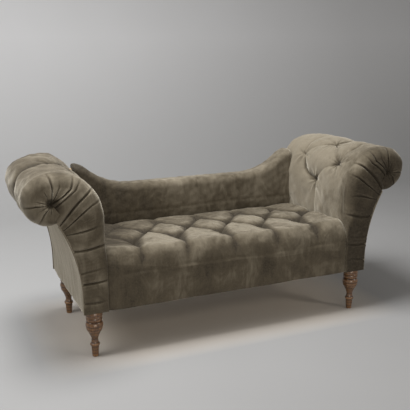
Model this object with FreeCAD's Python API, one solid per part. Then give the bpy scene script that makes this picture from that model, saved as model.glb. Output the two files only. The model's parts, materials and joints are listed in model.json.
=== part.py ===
import FreeCAD, Part
import math
import os

# A chaise longue with two scroll arms, a low swept back, a deep-buttoned seat and four turned legs.
# X runs along the seat, Y from the front to the back, Z up. The origin is on the floor, below the middle.
# Millimetres and degrees. The arms are mirror images, and each is built on the +X side.

# Overall frame
overall_depth = 622.0
leg_height = 203.0
seat_width = 1174.0
arm_base_width = 98.0
clearance = 0.3

# Arm scroll, seen from the front
arm_curve_level = 600.0
roll_reach = 212.0
roll_level = 685.0
roll_radius = 102.0
outer_curve_level = 270.0
outer_curve_radius = 637.0

# Padding, cloth and boards
arm_padding = 36.2
arm_front_padding = 17.7
arm_rear_padding = 5.7
arm_front_crown = 24.0
arm_rear_crown = 6.0
outside_arm_thickness = 8.0
outside_back_thickness = 6.0
border_thickness = 11.7
border_edge_radius = 4.0
cloth_thickness = 1.5

# Timber
rail_thickness = 28.0
rail_height = 122.0
frame_lift = 5.0
scroll_board_thickness = 25.0
end_rail_inset = 10.0
arm_base_rail_height = 92.0
tacking_rail_height = 40.0
tacking_rail_thickness = 25.0
cross_rail_width = 30.0
cross_rail_height = 60.0
cross_rail_offset = 222.0
corner_block_leg = 62.0
corner_block_height = 80.0
back_stile_width = 50.0
back_end_stile_inset = 27.0
back_top_rail_height = 60.0

# Turned legs
leg_spacing_x = 1275.0
leg_spacing_y = 496.0
front_leg_setback = 38.0
leg_top_radius = 33.0
leg_collar_radius = 35.8
leg_collar_length = 24.0
leg_band_radius = 34.6
leg_band_length = 20.0
leg_waist_radius = 31.8
leg_bulge_radius = 37.4
leg_bulge_length = 23.0
leg_cup_radius = 34.6
leg_cup_length = 22.0
leg_cup_foot_radius = 28.0
leg_cone_radius = 19.6
leg_neck_radius = 13.8
leg_neck_level = 80.0
leg_ankle_radius = 16.4
leg_ring_radius = 20.8
leg_ring_level = 55.0
leg_ring_length = 14.0
leg_foot_radius = 13.2
leg_foot_edge = 2.0
leg_groove_width = 2.5
leg_groove_depth = 2.2
plate_length = 60.0
plate_width = 36.0
bolt_radius = 4.0
bolt_in_leg = 35.0
bolt_in_rail = 45.0
bolt_clearance = 0.15

# Seat springs
spring_pitch = 111.0
spring_count = 10
spring_width = 46.0
spring_turns = 14
wire_radius = 1.9
spring_lift = 6.5
clip_length = 14.0
clip_width = 12.0
clip_wall = 0.5

# Tufted seat
button_pitch = 208.0
button_row_pitch = 135.0
first_row_setback = 176.0
button_rows = 3
button_radius = 11.0
button_height = 8.0
button_rim = 3.0
seat_button_level = 400.0
seat_front_crest = 467.0
seat_back_crest = 434.0
seat_edge_level = 371.0
seat_front_round = 68.0
seat_end_drop = 24.0
seat_fold_rise = 30.0
seat_end_margin = 60.0
seat_pleat_depth = 9.0
# A pillow rises at most this share of its width above its folds
seat_pillow_fullness = 0.35
stuffing_thickness = 16.3
twine_radius = 1.0

# Arm tufts: a diamond of four buttons, counted along the padded face from the seat up
arm_tuft_centre_y = 0.0
arm_tuft_pitch_y = 146.0
arm_tuft_height = 370.0
arm_tuft_pitch_up = 115.0
arm_tuft_depth = 28.0
arm_fold_depth = 9.0
arm_pleat_depth = 7.0
arm_pleat_width = 24.0

# Back
back_thickness = 93.0
back_low_level = 610.0
back_rise = 112.0
back_swoop_start = 300.0
back_hollow_radius = 320.0
back_pad_thickness = 56.7
back_top_padding = 30.0
back_top_round = 30.0
outside_back_drop = 16.0

# Places that follow from these sizes
half_depth = overall_depth / 2
half_seat = seat_width / 2
arm_outer_x = half_seat + arm_base_width
front_board_y = -half_depth + arm_front_padding + clearance
rear_board_y = half_depth - arm_rear_padding - clearance
frame_bottom = leg_height + frame_lift
rail_top = frame_bottom + rail_height
spring_level = rail_top + spring_lift
clip_top = spring_level + wire_radius + clip_wall
hessian_bottom = clip_top + clearance
hessian_top = hessian_bottom + cloth_thickness
stuffing_top = hessian_top + stuffing_thickness
quilt_bottom = stuffing_top + clearance
pad_bottom = hessian_top + clearance
frame_inset = arm_padding + 2 * clearance + cloth_thickness
outside_inset = outside_arm_thickness + clearance
arm_core_x = half_seat + frame_inset
arm_core_outer_x = arm_outer_x - outside_inset
end_rail_x = half_seat + end_rail_inset
back_frame_y = half_depth - outside_back_thickness
back_rail_y = back_frame_y - rail_thickness
back_face_y = half_depth - back_thickness
front_rail_back_y = front_board_y + rail_thickness
front_leg_y = -half_depth + front_leg_setback
back_leg_y = front_leg_y + leg_spacing_y
leg_x = leg_spacing_x / 2
roll_x = half_seat + roll_reach
roll_rise = roll_level - arm_curve_level
arm_curve_radius = (roll_reach ** 2 + roll_rise ** 2 - roll_radius ** 2) / (2 * (roll_reach - roll_radius))
arm_centre_x = half_seat + arm_curve_radius
outer_centre_x = arm_outer_x + outer_curve_radius
roll_tangent = math.degrees(math.atan2(roll_rise, roll_x - arm_centre_x))
quilt_half = half_seat - clearance


# Small helpers for outlines that stand upright, facing the front
def point(x, z, y):
    return FreeCAD.Vector(x, y, z)


def line(start, end, y):
    return Part.LineSegment(point(start[0], start[1], y), point(end[0], end[1], y)).toShape()


def arc_through(start, middle, end, y):
    return Part.Arc(point(*start, y), point(*middle, y), point(*end, y)).toShape()


def polar(centre_x, centre_z, radius, angle):
    turn = math.radians(angle)
    return centre_x + radius * math.cos(turn), centre_z + radius * math.sin(turn)


def arc(centre_x, centre_z, radius, start, end, y):
    ends = [polar(centre_x, centre_z, radius, angle) for angle in (start, (start + end) / 2, end)]
    return arc_through(*ends, y)


def thick(edges, depth):
    return Part.Face(Part.Wire(edges)).extrude(FreeCAD.Vector(0, depth, 0))


def loft(sections):
    return Part.makeLoft(sections, True, True)


def box(x0, x1, y0, y1, z0, z1):
    return Part.makeBox(x1 - x0, y1 - y0, z1 - z0, FreeCAD.Vector(x0, y0, z0))


def on_both_sides(shape):
    return Part.Compound([shape, mirrored(shape)])


def mirrored(shape):
    return shape.mirror(FreeCAD.Vector(0, 0, 0), FreeCAD.Vector(1, 0, 0))


# Arm scroll outline
def roll_junction(inset, outer_inset):
    """The angle about the roll's centre where the roll's underside meets the outside arm."""
    radius = roll_radius - inset
    outer = outer_curve_radius + outer_inset
    away_x = outer_centre_x - roll_x
    away_z = outer_curve_level - roll_level
    distance = math.hypot(away_x, away_z)
    along = (radius ** 2 - outer ** 2 + distance ** 2) / (2 * distance)
    across = math.sqrt(radius ** 2 - along ** 2)
    x = (along * away_x + across * away_z) / distance
    z = (along * away_z - across * away_x) / distance
    return math.degrees(math.atan2(z, x))


def arm_outline(inset, outer_inset, bottom, y):
    """The scroll from its bottom edge up the inside, round the roll and down the outside."""
    inner_x = half_seat + inset
    outer_x = arm_outer_x - outer_inset
    roll = roll_radius - inset
    outer = outer_curve_radius + outer_inset
    junction = roll_junction(inset, outer_inset)
    meeting = polar(roll_x, roll_level, roll, junction)
    top_angle = math.degrees(math.atan2(meeting[1] - outer_curve_level, meeting[0] - outer_centre_x))
    edges = [
        line((inner_x, bottom), (inner_x, arm_curve_level), y),
        arc(arm_centre_x, arm_curve_level, arm_curve_radius - inset, 180, roll_tangent, y),
        arc(roll_x, roll_level, roll, roll_tangent, 0, y),
        arc(roll_x, roll_level, roll, 0, junction, y),
    ]
    if bottom < outer_curve_level:
        edges.append(arc(outer_centre_x, outer_curve_level, outer, top_angle, 180, y))
        edges.append(line((outer_x, outer_curve_level), (outer_x, bottom), y))
        foot = (outer_x, bottom)
    else:
        low_angle = 180 - math.degrees(math.asin((bottom - outer_curve_level) / outer))
        edges.append(arc(outer_centre_x, outer_curve_level, outer, top_angle, low_angle, y))
        foot = polar(outer_centre_x, outer_curve_level, outer, low_angle)
    edges.append(line(foot, (inner_x, bottom), y))
    return edges


def crowned_arm_end(back_y, face_y, crown):
    """A padded panel over the end of an arm, with its edges rounded over."""
    depth = face_y - back_y
    sections = []
    for share in (0.0, 0.35, 0.65, 0.88, 1.0):
        inset = crown * (1 - math.sqrt(1 - share ** 2))
        sections.append(Part.Wire(arm_outline(inset, inset, leg_height, back_y + depth * share)))
    return loft(sections)


# Padded inside arm
arm_straight = arm_curve_level - pad_bottom
arm_curve_length = math.radians(180 - roll_tangent) * arm_curve_radius


def arm_face(distance, inset):
    """The point on the inside arm at a distance up from its bottom edge, sunk in by inset."""
    if distance <= arm_straight:
        return half_seat + inset, pad_bottom + distance
    if distance <= arm_straight + arm_curve_length:
        angle = 180 - math.degrees((distance - arm_straight) / arm_curve_radius)
        return polar(arm_centre_x, arm_curve_level, arm_curve_radius - inset, angle)
    angle = roll_tangent - math.degrees((distance - arm_straight - arm_curve_length) / roll_radius)
    return polar(roll_x, roll_level, roll_radius - inset, angle)


def arm_tuft_state(y):
    """How far the folds lie apart, how deep they are, and how far the pillow between them is drawn in."""
    away = abs(y - arm_tuft_centre_y)
    spread = away / arm_tuft_pitch_y
    if spread <= 1:
        half = arm_tuft_pitch_up * (1 - spread) + button_radius * spread
        depth = arm_fold_depth + (arm_tuft_depth - arm_fold_depth) * math.cos(math.pi * spread) ** 2
        return half, depth, arm_tuft_depth * spread ** 2.2
    edge = front_board_y if y < arm_tuft_centre_y else rear_board_y
    beyond = (away - arm_tuft_pitch_y) / (abs(edge - arm_tuft_centre_y) - arm_tuft_pitch_y)
    depth = arm_pleat_depth + (arm_tuft_depth - arm_pleat_depth) * (1 - beyond) ** 2
    return button_radius, depth, depth - 0.5


def arm_pad_section(y):
    half, depth, drawn_in = arm_tuft_state(y)
    pleat = arm_pleat_depth * max(0.0, 1 - abs(y - arm_tuft_centre_y) / arm_pleat_width)
    low = arm_tuft_height - half
    high = arm_tuft_height + half
    first = arm_straight * 0.7
    roll_start = arm_straight + arm_curve_length
    end_angle = roll_junction(0, 0) + 0.5
    roll_length = math.radians(roll_tangent - end_angle) * roll_radius
    stops = [first, low, high, roll_start]
    insets = [pleat, depth, depth, pleat]
    middles = [0.0, drawn_in, 0.0]
    edges = [line(arm_face(0, pleat), arm_face(first, pleat), y)]
    for i, middle in enumerate(middles):
        centre = arm_face((stops[i] + stops[i + 1]) / 2, middle)
        edges.append(arc_through(arm_face(stops[i], insets[i]), centre, arm_face(stops[i + 1], insets[i + 1]), y))
    roll_arcs = 3
    for i in range(roll_arcs):
        ends = [roll_start + roll_length * (i + step) / roll_arcs for step in (0, 0.5, 1)]
        edges.append(arc_through(*[arm_face(end, pleat) for end in ends], y))
    inner_radius = roll_radius - arm_padding
    inner_x = half_seat + arm_padding
    edges.append(line(arm_face(roll_start + roll_length, pleat), polar(roll_x, roll_level, inner_radius, end_angle), y))
    edges.append(arc(roll_x, roll_level, inner_radius, end_angle, 0, y))
    edges.append(arc(roll_x, roll_level, inner_radius, 0, roll_tangent, y))
    edges.append(arc(arm_centre_x, arm_curve_level, arm_curve_radius - arm_padding, roll_tangent, 180, y))
    edges.append(line((inner_x, arm_curve_level), (inner_x, pad_bottom), y))
    edges.append(line((inner_x, pad_bottom), arm_face(0, pleat), y))
    return Part.Wire(edges)


def arm_button_places():
    """Each arm button: where its seat lies and which way it faces."""
    spots = [
        (arm_tuft_centre_y, arm_tuft_height - arm_tuft_pitch_up),
        (arm_tuft_centre_y, arm_tuft_height + arm_tuft_pitch_up),
        (arm_tuft_centre_y - arm_tuft_pitch_y, arm_tuft_height),
        (arm_tuft_centre_y + arm_tuft_pitch_y, arm_tuft_height),
    ]
    places = []
    for y, distance in spots:
        seat = point(*arm_face(distance, arm_tuft_depth + 1), y)
        out = point(*arm_face(distance, 0), y)
        places.append((seat, (out - seat).normalize()))
    return places


def inside_arm():
    stations = [front_board_y, arm_tuft_centre_y, rear_board_y]
    for side in (-1, 1):
        for share in (0.16, 0.33, 0.5, 0.67, 0.84, 1.0):
            stations.append(arm_tuft_centre_y + side * arm_tuft_pitch_y * share)
    front_room = arm_tuft_centre_y - arm_tuft_pitch_y - front_board_y
    rear_room = rear_board_y - arm_tuft_centre_y - arm_tuft_pitch_y
    for share in (0.2, 0.5):
        stations.append(arm_tuft_centre_y - arm_tuft_pitch_y - front_room * share)
        stations.append(arm_tuft_centre_y + arm_tuft_pitch_y + rear_room * share)
    pad = loft([arm_pad_section(y) for y in sorted(stations)])
    pockets = []
    for seat, out in arm_button_places():
        pockets.append(Part.makeCylinder(button_radius + clearance, arm_padding, seat, out))
    return pad.cut(pockets)


# Covered buttons
def button(seat, out):
    """A low dome with a straight rim, its flat back on the seat."""
    rise = button_height - button_rim
    dome_radius = (button_radius ** 2 + rise ** 2) / (2 * rise)
    half_turn = math.asin(button_radius / dome_radius) / 2
    rim = FreeCAD.Vector(button_radius, 0, button_rim)
    shoulder_z = button_height - dome_radius * (1 - math.cos(half_turn))
    shoulder = FreeCAD.Vector(dome_radius * math.sin(half_turn), 0, shoulder_z)
    crest = FreeCAD.Vector(0, 0, button_height)
    profile = Part.Wire([
        Part.LineSegment(FreeCAD.Vector(0, 0, 0), FreeCAD.Vector(button_radius, 0, 0)).toShape(),
        Part.LineSegment(FreeCAD.Vector(button_radius, 0, 0), rim).toShape(),
        Part.Arc(rim, shoulder, crest).toShape(),
        Part.LineSegment(crest, FreeCAD.Vector(0, 0, 0)).toShape(),
    ])
    dome = Part.Face(profile).revolve(FreeCAD.Vector(0, 0, 0), FreeCAD.Vector(0, 0, 1), 360)
    dome.Placement = FreeCAD.Placement(seat, FreeCAD.Rotation(FreeCAD.Vector(0, 0, 1), out))
    return dome


# Arm frame
def scroll_board(y):
    return thick(arm_outline(frame_inset, outside_inset, arm_base_top, y), scroll_board_thickness)


arm_base_top = frame_bottom + arm_base_rail_height


def arm_base_rail():
    rail = box(arm_core_x, arm_core_outer_x, front_board_y, rear_board_y, frame_bottom, arm_base_top)
    holes = []
    for y in (front_leg_y, back_leg_y):
        foot = FreeCAD.Vector(leg_x, y, frame_bottom)
        holes.append(Part.makeCylinder(bolt_radius + bolt_clearance, bolt_in_rail, foot))
    return rail.cut(holes)


def between_boards(edges_at):
    start = front_board_y + scroll_board_thickness
    return thick(edges_at(start), rear_board_y - scroll_board_thickness - start)


def roll_rail_edges(y):
    radius = roll_radius - frame_inset
    low = 25
    start = polar(roll_x, roll_level, radius, 180 - low)
    end = polar(roll_x, roll_level, radius, low)
    return [arc(roll_x, roll_level, radius, 180 - low, low, y), line(end, start, y)]


def arm_tacking_rail():
    start = front_board_y + scroll_board_thickness
    end = rear_board_y - scroll_board_thickness
    back = arm_core_x + tacking_rail_thickness
    return box(arm_core_x, back, start, end, pad_bottom, pad_bottom + tacking_rail_height)


def arm_hessian():
    """A thin sheet under the padding, from the tacking rail up and over the roll."""
    y = front_board_y
    outer = arm_padding + clearance
    inner = outer + cloth_thickness
    end_angle = roll_junction(0, 0) + 2
    edges = [line((half_seat + outer, pad_bottom), (half_seat + outer, arm_curve_level), y)]
    edges.append(arc(arm_centre_x, arm_curve_level, arm_curve_radius - outer, 180, roll_tangent, y))
    edges.append(arc(roll_x, roll_level, roll_radius - outer, roll_tangent, 0, y))
    edges.append(arc(roll_x, roll_level, roll_radius - outer, 0, end_angle, y))
    edges.append(line(
        polar(roll_x, roll_level, roll_radius - outer, end_angle),
        polar(roll_x, roll_level, roll_radius - inner, end_angle), y))
    edges.append(arc(roll_x, roll_level, roll_radius - inner, end_angle, 0, y))
    edges.append(arc(roll_x, roll_level, roll_radius - inner, 0, roll_tangent, y))
    edges.append(arc(arm_centre_x, arm_curve_level, arm_curve_radius - inner, roll_tangent, 180, y))
    edges.append(line((half_seat + inner, arm_curve_level), (half_seat + inner, pad_bottom), y))
    edges.append(line((half_seat + inner, pad_bottom), (half_seat + outer, pad_bottom), y))
    return thick(edges, rear_board_y - front_board_y)


def outside_arm():
    """The thin panel that closes the arm's outer side, from the bottom edge to under the roll."""
    y = front_board_y
    junction = polar(roll_x, roll_level, roll_radius, roll_junction(0, 0))
    top = math.degrees(math.atan2(junction[1] - outer_curve_level, junction[0] - outer_centre_x)) + 360
    top += 0.1
    inner_radius = outer_curve_radius + outside_arm_thickness
    inner_x = arm_outer_x - outside_arm_thickness
    edges = [
        line((arm_outer_x, leg_height), (arm_outer_x, outer_curve_level), y),
        arc(outer_centre_x, outer_curve_level, outer_curve_radius, 180, top - 360, y),
        line(polar(outer_centre_x, outer_curve_level, outer_curve_radius, top),
             polar(outer_centre_x, outer_curve_level, inner_radius, top), y),
        arc(outer_centre_x, outer_curve_level, inner_radius, top - 360, 180, y),
        line((inner_x, outer_curve_level), (inner_x, leg_height), y),
        line((inner_x, leg_height), (arm_outer_x, leg_height), y),
    ]
    return thick(edges, rear_board_y - front_board_y)


# Turned legs
def leg():
    """One turned leg on the Z axis, foot at zero, with a blind hole for its bolt in the top."""
    h = leg_height
    collar = h - leg_collar_length
    band = collar - leg_band_length
    bulge = band - leg_bulge_length
    cup = bulge - leg_cup_length
    ring_top = leg_ring_level + leg_ring_length / 2
    ring_foot = leg_ring_level - leg_ring_length / 2
    groove = leg_groove_width
    profile = [
        ("bead", leg_collar_radius, (h + collar) / 2, leg_collar_radius - leg_groove_depth / 4, collar + groove),
        (leg_band_radius - leg_groove_depth, collar),
        ("bead", leg_band_radius, (collar + band) / 2 + groove, leg_waist_radius, band + groove),
        (leg_waist_radius - leg_groove_depth, band + groove / 2),
        (leg_waist_radius, band),
        ("bead", leg_bulge_radius - leg_groove_depth / 2, (band + bulge) / 2 + groove,
         leg_bulge_radius - leg_groove_depth / 4, bulge + groove),
        (leg_cup_radius - leg_groove_depth / 2, bulge + groove / 2),
        (leg_cup_radius, bulge),
        ("bead", (leg_cup_radius + leg_cup_foot_radius) / 2 + groove, (bulge + cup) / 2, leg_cup_foot_radius, cup),
        ("bead", leg_cone_radius, (cup + leg_neck_level) / 2, leg_neck_radius, leg_neck_level),
        ("bead", leg_neck_radius + leg_groove_depth / 4, (leg_neck_level + ring_top) / 2,
         leg_ankle_radius, ring_top),
        ("bead", leg_ring_radius, leg_ring_level, leg_ankle_radius, ring_foot),
        (leg_foot_radius, leg_foot_edge),
        (leg_foot_radius - leg_foot_edge, 0),
        (0, 0),
        (0, h),
        (leg_top_radius, h),
    ]
    edges = []
    at = FreeCAD.Vector(leg_top_radius, 0, h)
    for step in profile:
        if step[0] == "bead":
            middle = FreeCAD.Vector(step[1], 0, step[2])
            end = FreeCAD.Vector(step[3], 0, step[4])
            edges.append(Part.Arc(at, middle, end).toShape())
        else:
            end = FreeCAD.Vector(step[0], 0, step[1])
            edges.append(Part.LineSegment(at, end).toShape())
        at = end
    solid = Part.Face(Part.Wire(edges)).revolve(FreeCAD.Vector(0, 0, 0), FreeCAD.Vector(0, 0, 1), 360)
    hole = Part.makeCylinder(bolt_radius + bolt_clearance, bolt_in_leg, FreeCAD.Vector(0, 0, h - bolt_in_leg))
    return solid.cut(hole)


def at_each_leg(shape):
    """The shape, made on the Z axis, copied to the four leg positions."""
    copies = []
    for x in (-leg_x, leg_x):
        for y in (front_leg_y, back_leg_y):
            copies.append(shape.translated(FreeCAD.Vector(x, y, 0)))
    return copies


def leg_plate():
    plate = box(-plate_length / 2, plate_length / 2, -plate_width / 2, plate_width / 2, leg_height, frame_bottom)
    through = FreeCAD.Vector(0, 0, leg_height)
    return plate.cut(Part.makeCylinder(bolt_radius + bolt_clearance, frame_lift, through))


def hanger_bolt():
    low = leg_height - bolt_in_leg
    return Part.makeCylinder(bolt_radius, frame_bottom + bolt_in_rail - low, FreeCAD.Vector(0, 0, low))


# Seat frame
def corner_blocks():
    """A triangular block in each inside corner of the seat frame."""
    bottom = rail_top - corner_block_height
    blocks = []
    for y, into in ((front_rail_back_y, 1), (back_rail_y, -1)):
        corners = [
            FreeCAD.Vector(end_rail_x, y, bottom),
            FreeCAD.Vector(end_rail_x - corner_block_leg, y, bottom),
            FreeCAD.Vector(end_rail_x, y + into * corner_block_leg, bottom),
        ]
        face = Part.Face(Part.makePolygon(corners + corners[:1]))
        block = face.extrude(FreeCAD.Vector(0, 0, corner_block_height))
        blocks += [block, mirrored(block)]
    return Part.Compound(blocks)


def zigzag_spring(x):
    """One flat spring wire that winds from the front rail to the back rail."""
    start_y = front_board_y + rail_thickness / 2
    turn = (back_rail_y + rail_thickness / 2 - start_y) / spring_turns
    radius = turn / 2
    straight = spring_width / 2 - radius
    edges = []
    for i in range(spring_turns + 1):
        side = 1 if i % 2 == 0 else -1
        y = start_y + i * turn
        at = FreeCAD.Vector(x - side * straight, y, spring_level)
        end = FreeCAD.Vector(x + side * straight, y, spring_level)
        edges.append(Part.LineSegment(at, end).toShape())
        if i == spring_turns:
            break
        diagonal = radius * math.sqrt(0.5)
        far = FreeCAD.Vector(end.x + side * radius, y + radius, spring_level)
        early = FreeCAD.Vector(end.x + side * diagonal, y + radius - diagonal, spring_level)
        late = FreeCAD.Vector(end.x + side * diagonal, y + radius + diagonal, spring_level)
        back = FreeCAD.Vector(end.x, y + turn, spring_level)
        edges.append(Part.Arc(end, early, far).toShape())
        edges.append(Part.Arc(far, late, back).toShape())
    first = edges[0].Vertexes[0].Point
    section = Part.Wire(Part.makeCircle(wire_radius, first, FreeCAD.Vector(1, 0, 0)))
    return Part.Wire(edges).makePipeShell([section], True, False)


def spring_places():
    return [(i - (spring_count - 1) / 2) * spring_pitch for i in range(spring_count)]


def seat_springs():
    one = zigzag_spring(0)
    return Part.Compound([one.translated(FreeCAD.Vector(x, 0, 0)) for x in spring_places()])


def spring_clips():
    """A small block over each end of each spring, on the rails."""
    clips = []
    for x in spring_places():
        for y in (front_board_y + rail_thickness / 2, back_rail_y + rail_thickness / 2):
            block = box(x - clip_length / 2, x + clip_length / 2, y - clip_width / 2, y + clip_width / 2,
                        rail_top, clip_top)
            wire_way = Part.makeCylinder(wire_radius + bolt_clearance, clip_length,
                                         FreeCAD.Vector(x - clip_length / 2, y, spring_level),
                                         FreeCAD.Vector(1, 0, 0))
            clips.append(block.cut(wire_way))
    return Part.Compound(clips)


def dust_cover():
    """The thin cloth under the frame, cut out around the leg plates."""
    low = frame_bottom - cloth_thickness
    sheet = box(-arm_core_outer_x, arm_core_outer_x, front_board_y, rear_board_y, low, frame_bottom)
    half_length = plate_length / 2 + cloth_thickness
    half_width = plate_width / 2 + cloth_thickness
    window = box(-half_length, half_length, -half_width, half_width, low, frame_bottom)
    legs = Part.makeCylinder(leg_collar_radius + cloth_thickness, cloth_thickness, FreeCAD.Vector(0, 0, low))
    return sheet.cut(at_each_leg(window.fuse(legs)))


# Tufted seat
first_row_y = -half_depth + first_row_setback
last_row_y = first_row_y + button_row_pitch * (button_rows - 1)
quilt_front_y = -half_depth + 1.5
quilt_back_y = back_face_y - clearance
half_pitch = button_pitch / 2
last_column = int((quilt_half - seat_end_margin) / half_pitch)
last_fold_x = quilt_half - button_radius - clearance


def seat_crest(y):
    """The height of the pillows' tops: it falls to the back and rolls over the front edge."""
    share = (y - quilt_front_y) / (quilt_back_y - quilt_front_y)
    level = seat_front_crest + (seat_back_crest - seat_front_crest) * share
    into_round = (quilt_front_y + seat_front_round - y) / seat_front_round
    if into_round <= 0:
        return level
    return seat_edge_level + (level - seat_edge_level) * math.sqrt(max(0.0, 1 - into_round ** 2))


def seat_folds(y):
    """Along a line across the seat: how far the folds have moved to the next row, and how low they lie."""
    crest = seat_crest(y)
    if y < first_row_y:
        fade = (first_row_y - y) / (first_row_y - quilt_front_y)
        depth = seat_pleat_depth + (crest - seat_button_level - seat_pleat_depth) * (1 - fade) ** 1.6
        return 0.0, crest - max(depth, seat_pleat_depth * (1 - fade) + 2)
    if y > last_row_y:
        fade = (y - last_row_y) / (quilt_back_y - last_row_y)
        depth = seat_pleat_depth + (crest - seat_button_level - seat_pleat_depth) * (1 - fade) ** 1.6
        return float((button_rows - 1) % 2), crest - depth
    rows = (y - first_row_y) / button_row_pitch
    part = rows - math.floor(rows)
    moved = part if math.floor(rows) % 2 == 0 else 1 - part
    return moved, seat_button_level + seat_fold_rise * math.sin(math.pi * moved)


def seat_section(y):
    """An upright slice of the tufted seat: an arc over each pillow, with the folds between them."""
    moved, fold_level = seat_folds(y)
    crest = seat_crest(y)
    end_level = crest - min(seat_end_drop, (crest - quilt_bottom) * 0.5)
    stops = [(-quilt_half, end_level)]
    tops = []
    for column in range(-last_column - 1, last_column + 1):
        even, odd = (column, column + 1) if column % 2 == 0 else (column + 1, column)
        outside = abs(even) > last_column or abs(odd) > last_column
        places = []
        for at in (even, odd):
            side = 1 if at == column else -1
            places.append(at * half_pitch + side * (button_radius + clearance))
        x = places[0] * (1 - moved) + places[1] * moved
        x = max(-last_fold_x, min(last_fold_x, x))
        z = fold_level
        if outside:
            shallow = crest - seat_end_drop * 0.6
            run_out = moved if abs(odd) > last_column else 1 - moved
            z = fold_level + (shallow - fold_level) * run_out
        stops.append((x, min(z, crest - 1)))
        grown = 1 - moved if column % 2 else moved
        swell = 1 - (1 - grown) ** 2.2
        tops.append(fold_level + 0.5 + (crest - fold_level - 0.5) * swell)
    tops.append(crest)
    tops[0] = crest - seat_end_drop * 0.3
    tops[-1] = tops[0]
    stops.append((quilt_half, end_level))
    edges = []
    for i, top in enumerate(tops):
        start, end = stops[i], stops[i + 1]
        middle_x = (start[0] + end[0]) / 2
        chord_z = (start[1] + end[1]) / 2
        fullest = chord_z + (end[0] - start[0]) * seat_pillow_fullness
        edges.append(arc_through(start, (middle_x, max(min(top, fullest), chord_z + 0.5)), end, y))
    edges.append(line(stops[-1], (quilt_half, quilt_bottom), y))
    edges.append(line((quilt_half, quilt_bottom), (-quilt_half, quilt_bottom), y))
    edges.append(line((-quilt_half, quilt_bottom), stops[0], y))
    return Part.Wire(edges)


def seat_button_places():
    places = []
    for row in range(button_rows):
        y = first_row_y + row * button_row_pitch
        for column in range(-last_column, last_column + 1):
            if (column + row) % 2 == 0:
                places.append((column * half_pitch, y))
    return places


def seat_cover():
    stations = []
    for turn in (86, 76, 62, 45, 25, 0):
        stations.append(quilt_front_y + seat_front_round * (1 - math.sin(math.radians(turn))))
    span = first_row_y - stations[-1]
    stations += [stations[-1] + span * share for share in (0.4, 0.75)]
    quarters = 4
    for step in range((button_rows - 1) * quarters + 1):
        stations.append(first_row_y + button_row_pitch * step / quarters)
    room = quilt_back_y - last_row_y
    stations += [last_row_y + room * share for share in (0.3, 0.65, 1.0)]
    quilt = loft([seat_section(y) for y in stations])
    pockets = []
    for x, y in seat_button_places():
        seat = FreeCAD.Vector(x, y, seat_button_level - 1)
        pockets.append(Part.makeCylinder(button_radius + clearance, seat_front_crest, seat))
    return quilt.cut(pockets).cut(twine_ways())


def twine_ways():
    ways = []
    for x, y in seat_button_places():
        ways.append(Part.makeCylinder(twine_radius + clearance, seat_button_level, FreeCAD.Vector(x, y, hessian_top)))
    return ways


def seat_stuffing():
    pad = box(-quilt_half, quilt_half, front_board_y, quilt_back_y, hessian_top, stuffing_top)
    return pad.cut(twine_ways())


def tufting_twines():
    twines = []
    for x, y in seat_button_places():
        height = seat_button_level - 1 - hessian_top
        twines.append(Part.makeCylinder(twine_radius, height, FreeCAD.Vector(x, y, hessian_top)))
    return Part.Compound(twines)


def seat_buttons():
    up = FreeCAD.Vector(0, 0, 1)
    buttons = [button(FreeCAD.Vector(x, y, seat_button_level - 1), up) for x, y in seat_button_places()]
    return Part.Compound(buttons)


def seat_front_border():
    back_y = front_board_y - clearance
    front_y = back_y - border_thickness
    panel = box(-quilt_half, quilt_half, front_y, back_y, leg_height, stuffing_top)
    edges = [edge for edge in panel.Edges if edge.BoundBox.YMax < front_y + clearance]
    return panel.makeFillet(border_edge_radius, edges)


# Swept back
swoop_width = half_seat - back_swoop_start
swoop_angle = 2 * math.degrees(math.atan(back_rise / swoop_width))
back_crest_radius = swoop_width / math.sin(math.radians(swoop_angle)) - back_hollow_radius


def back_top(inset, drop, y):
    """The top line from +X to -X: a crest by each arm, a hollow sweep down, and a straight middle."""
    low = back_low_level - inset - drop
    hollow = back_hollow_radius + inset
    crest = back_crest_radius - inset
    hollow_z = back_low_level + back_hollow_radius - drop
    crest_z = back_low_level + back_rise - back_crest_radius - drop
    end_angle = math.degrees(math.acos((quilt_half - half_seat) / crest))
    return [
        arc(half_seat, crest_z, crest, end_angle, 90 + swoop_angle, y),
        arc(back_swoop_start, hollow_z, hollow, swoop_angle - 90, -90, y),
        line((back_swoop_start, low), (-back_swoop_start, low), y),
        arc(-back_swoop_start, hollow_z, hollow, -90, -90 - swoop_angle, y),
        arc(-half_seat, crest_z, crest, 90 - swoop_angle, 180 - end_angle, y),
    ]


def back_outline(inset, bottom, y, drop=0.0):
    top = back_top(inset, drop, y)
    start = top[0].Vertexes[0].Point
    finish = top[-1].Vertexes[-1].Point
    return top + [
        line((finish.x, finish.z), (-quilt_half, bottom), y),
        line((-quilt_half, bottom), (quilt_half, bottom), y),
        line((quilt_half, bottom), (start.x, start.z), y),
    ]


def inside_back():
    """The padded inner face, its top and end edges rounded forward."""
    sections = []
    round_depth = back_pad_thickness * 0.7
    for turn in (90, 60, 35, 15, 0):
        y = back_face_y + round_depth * (1 - math.sin(math.radians(turn)))
        inset = back_top_round * (1 - math.cos(math.radians(turn)))
        sections.append(Part.Wire(back_outline(inset, pad_bottom, y)))
    sections.append(Part.Wire(back_outline(0, pad_bottom, back_face_y + back_pad_thickness)))
    return loft(sections)


def back_band(inset, lower_inset, drop, y):
    """A closed band that follows the top line, its lower edge further in or straight below."""
    outer = back_top(inset, 0.0, y)
    inner = back_top(lower_inset, drop, y)
    outer_start = outer[0].Vertexes[0].Point
    outer_end = outer[-1].Vertexes[-1].Point
    inner_start = inner[0].Vertexes[0].Point
    inner_end = inner[-1].Vertexes[-1].Point
    return outer + [
        line((outer_end.x, outer_end.z), (inner_end.x, inner_end.z), y),
        *inner[::-1],
        line((inner_start.x, inner_start.z), (outer_start.x, outer_start.z), y),
    ]


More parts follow.
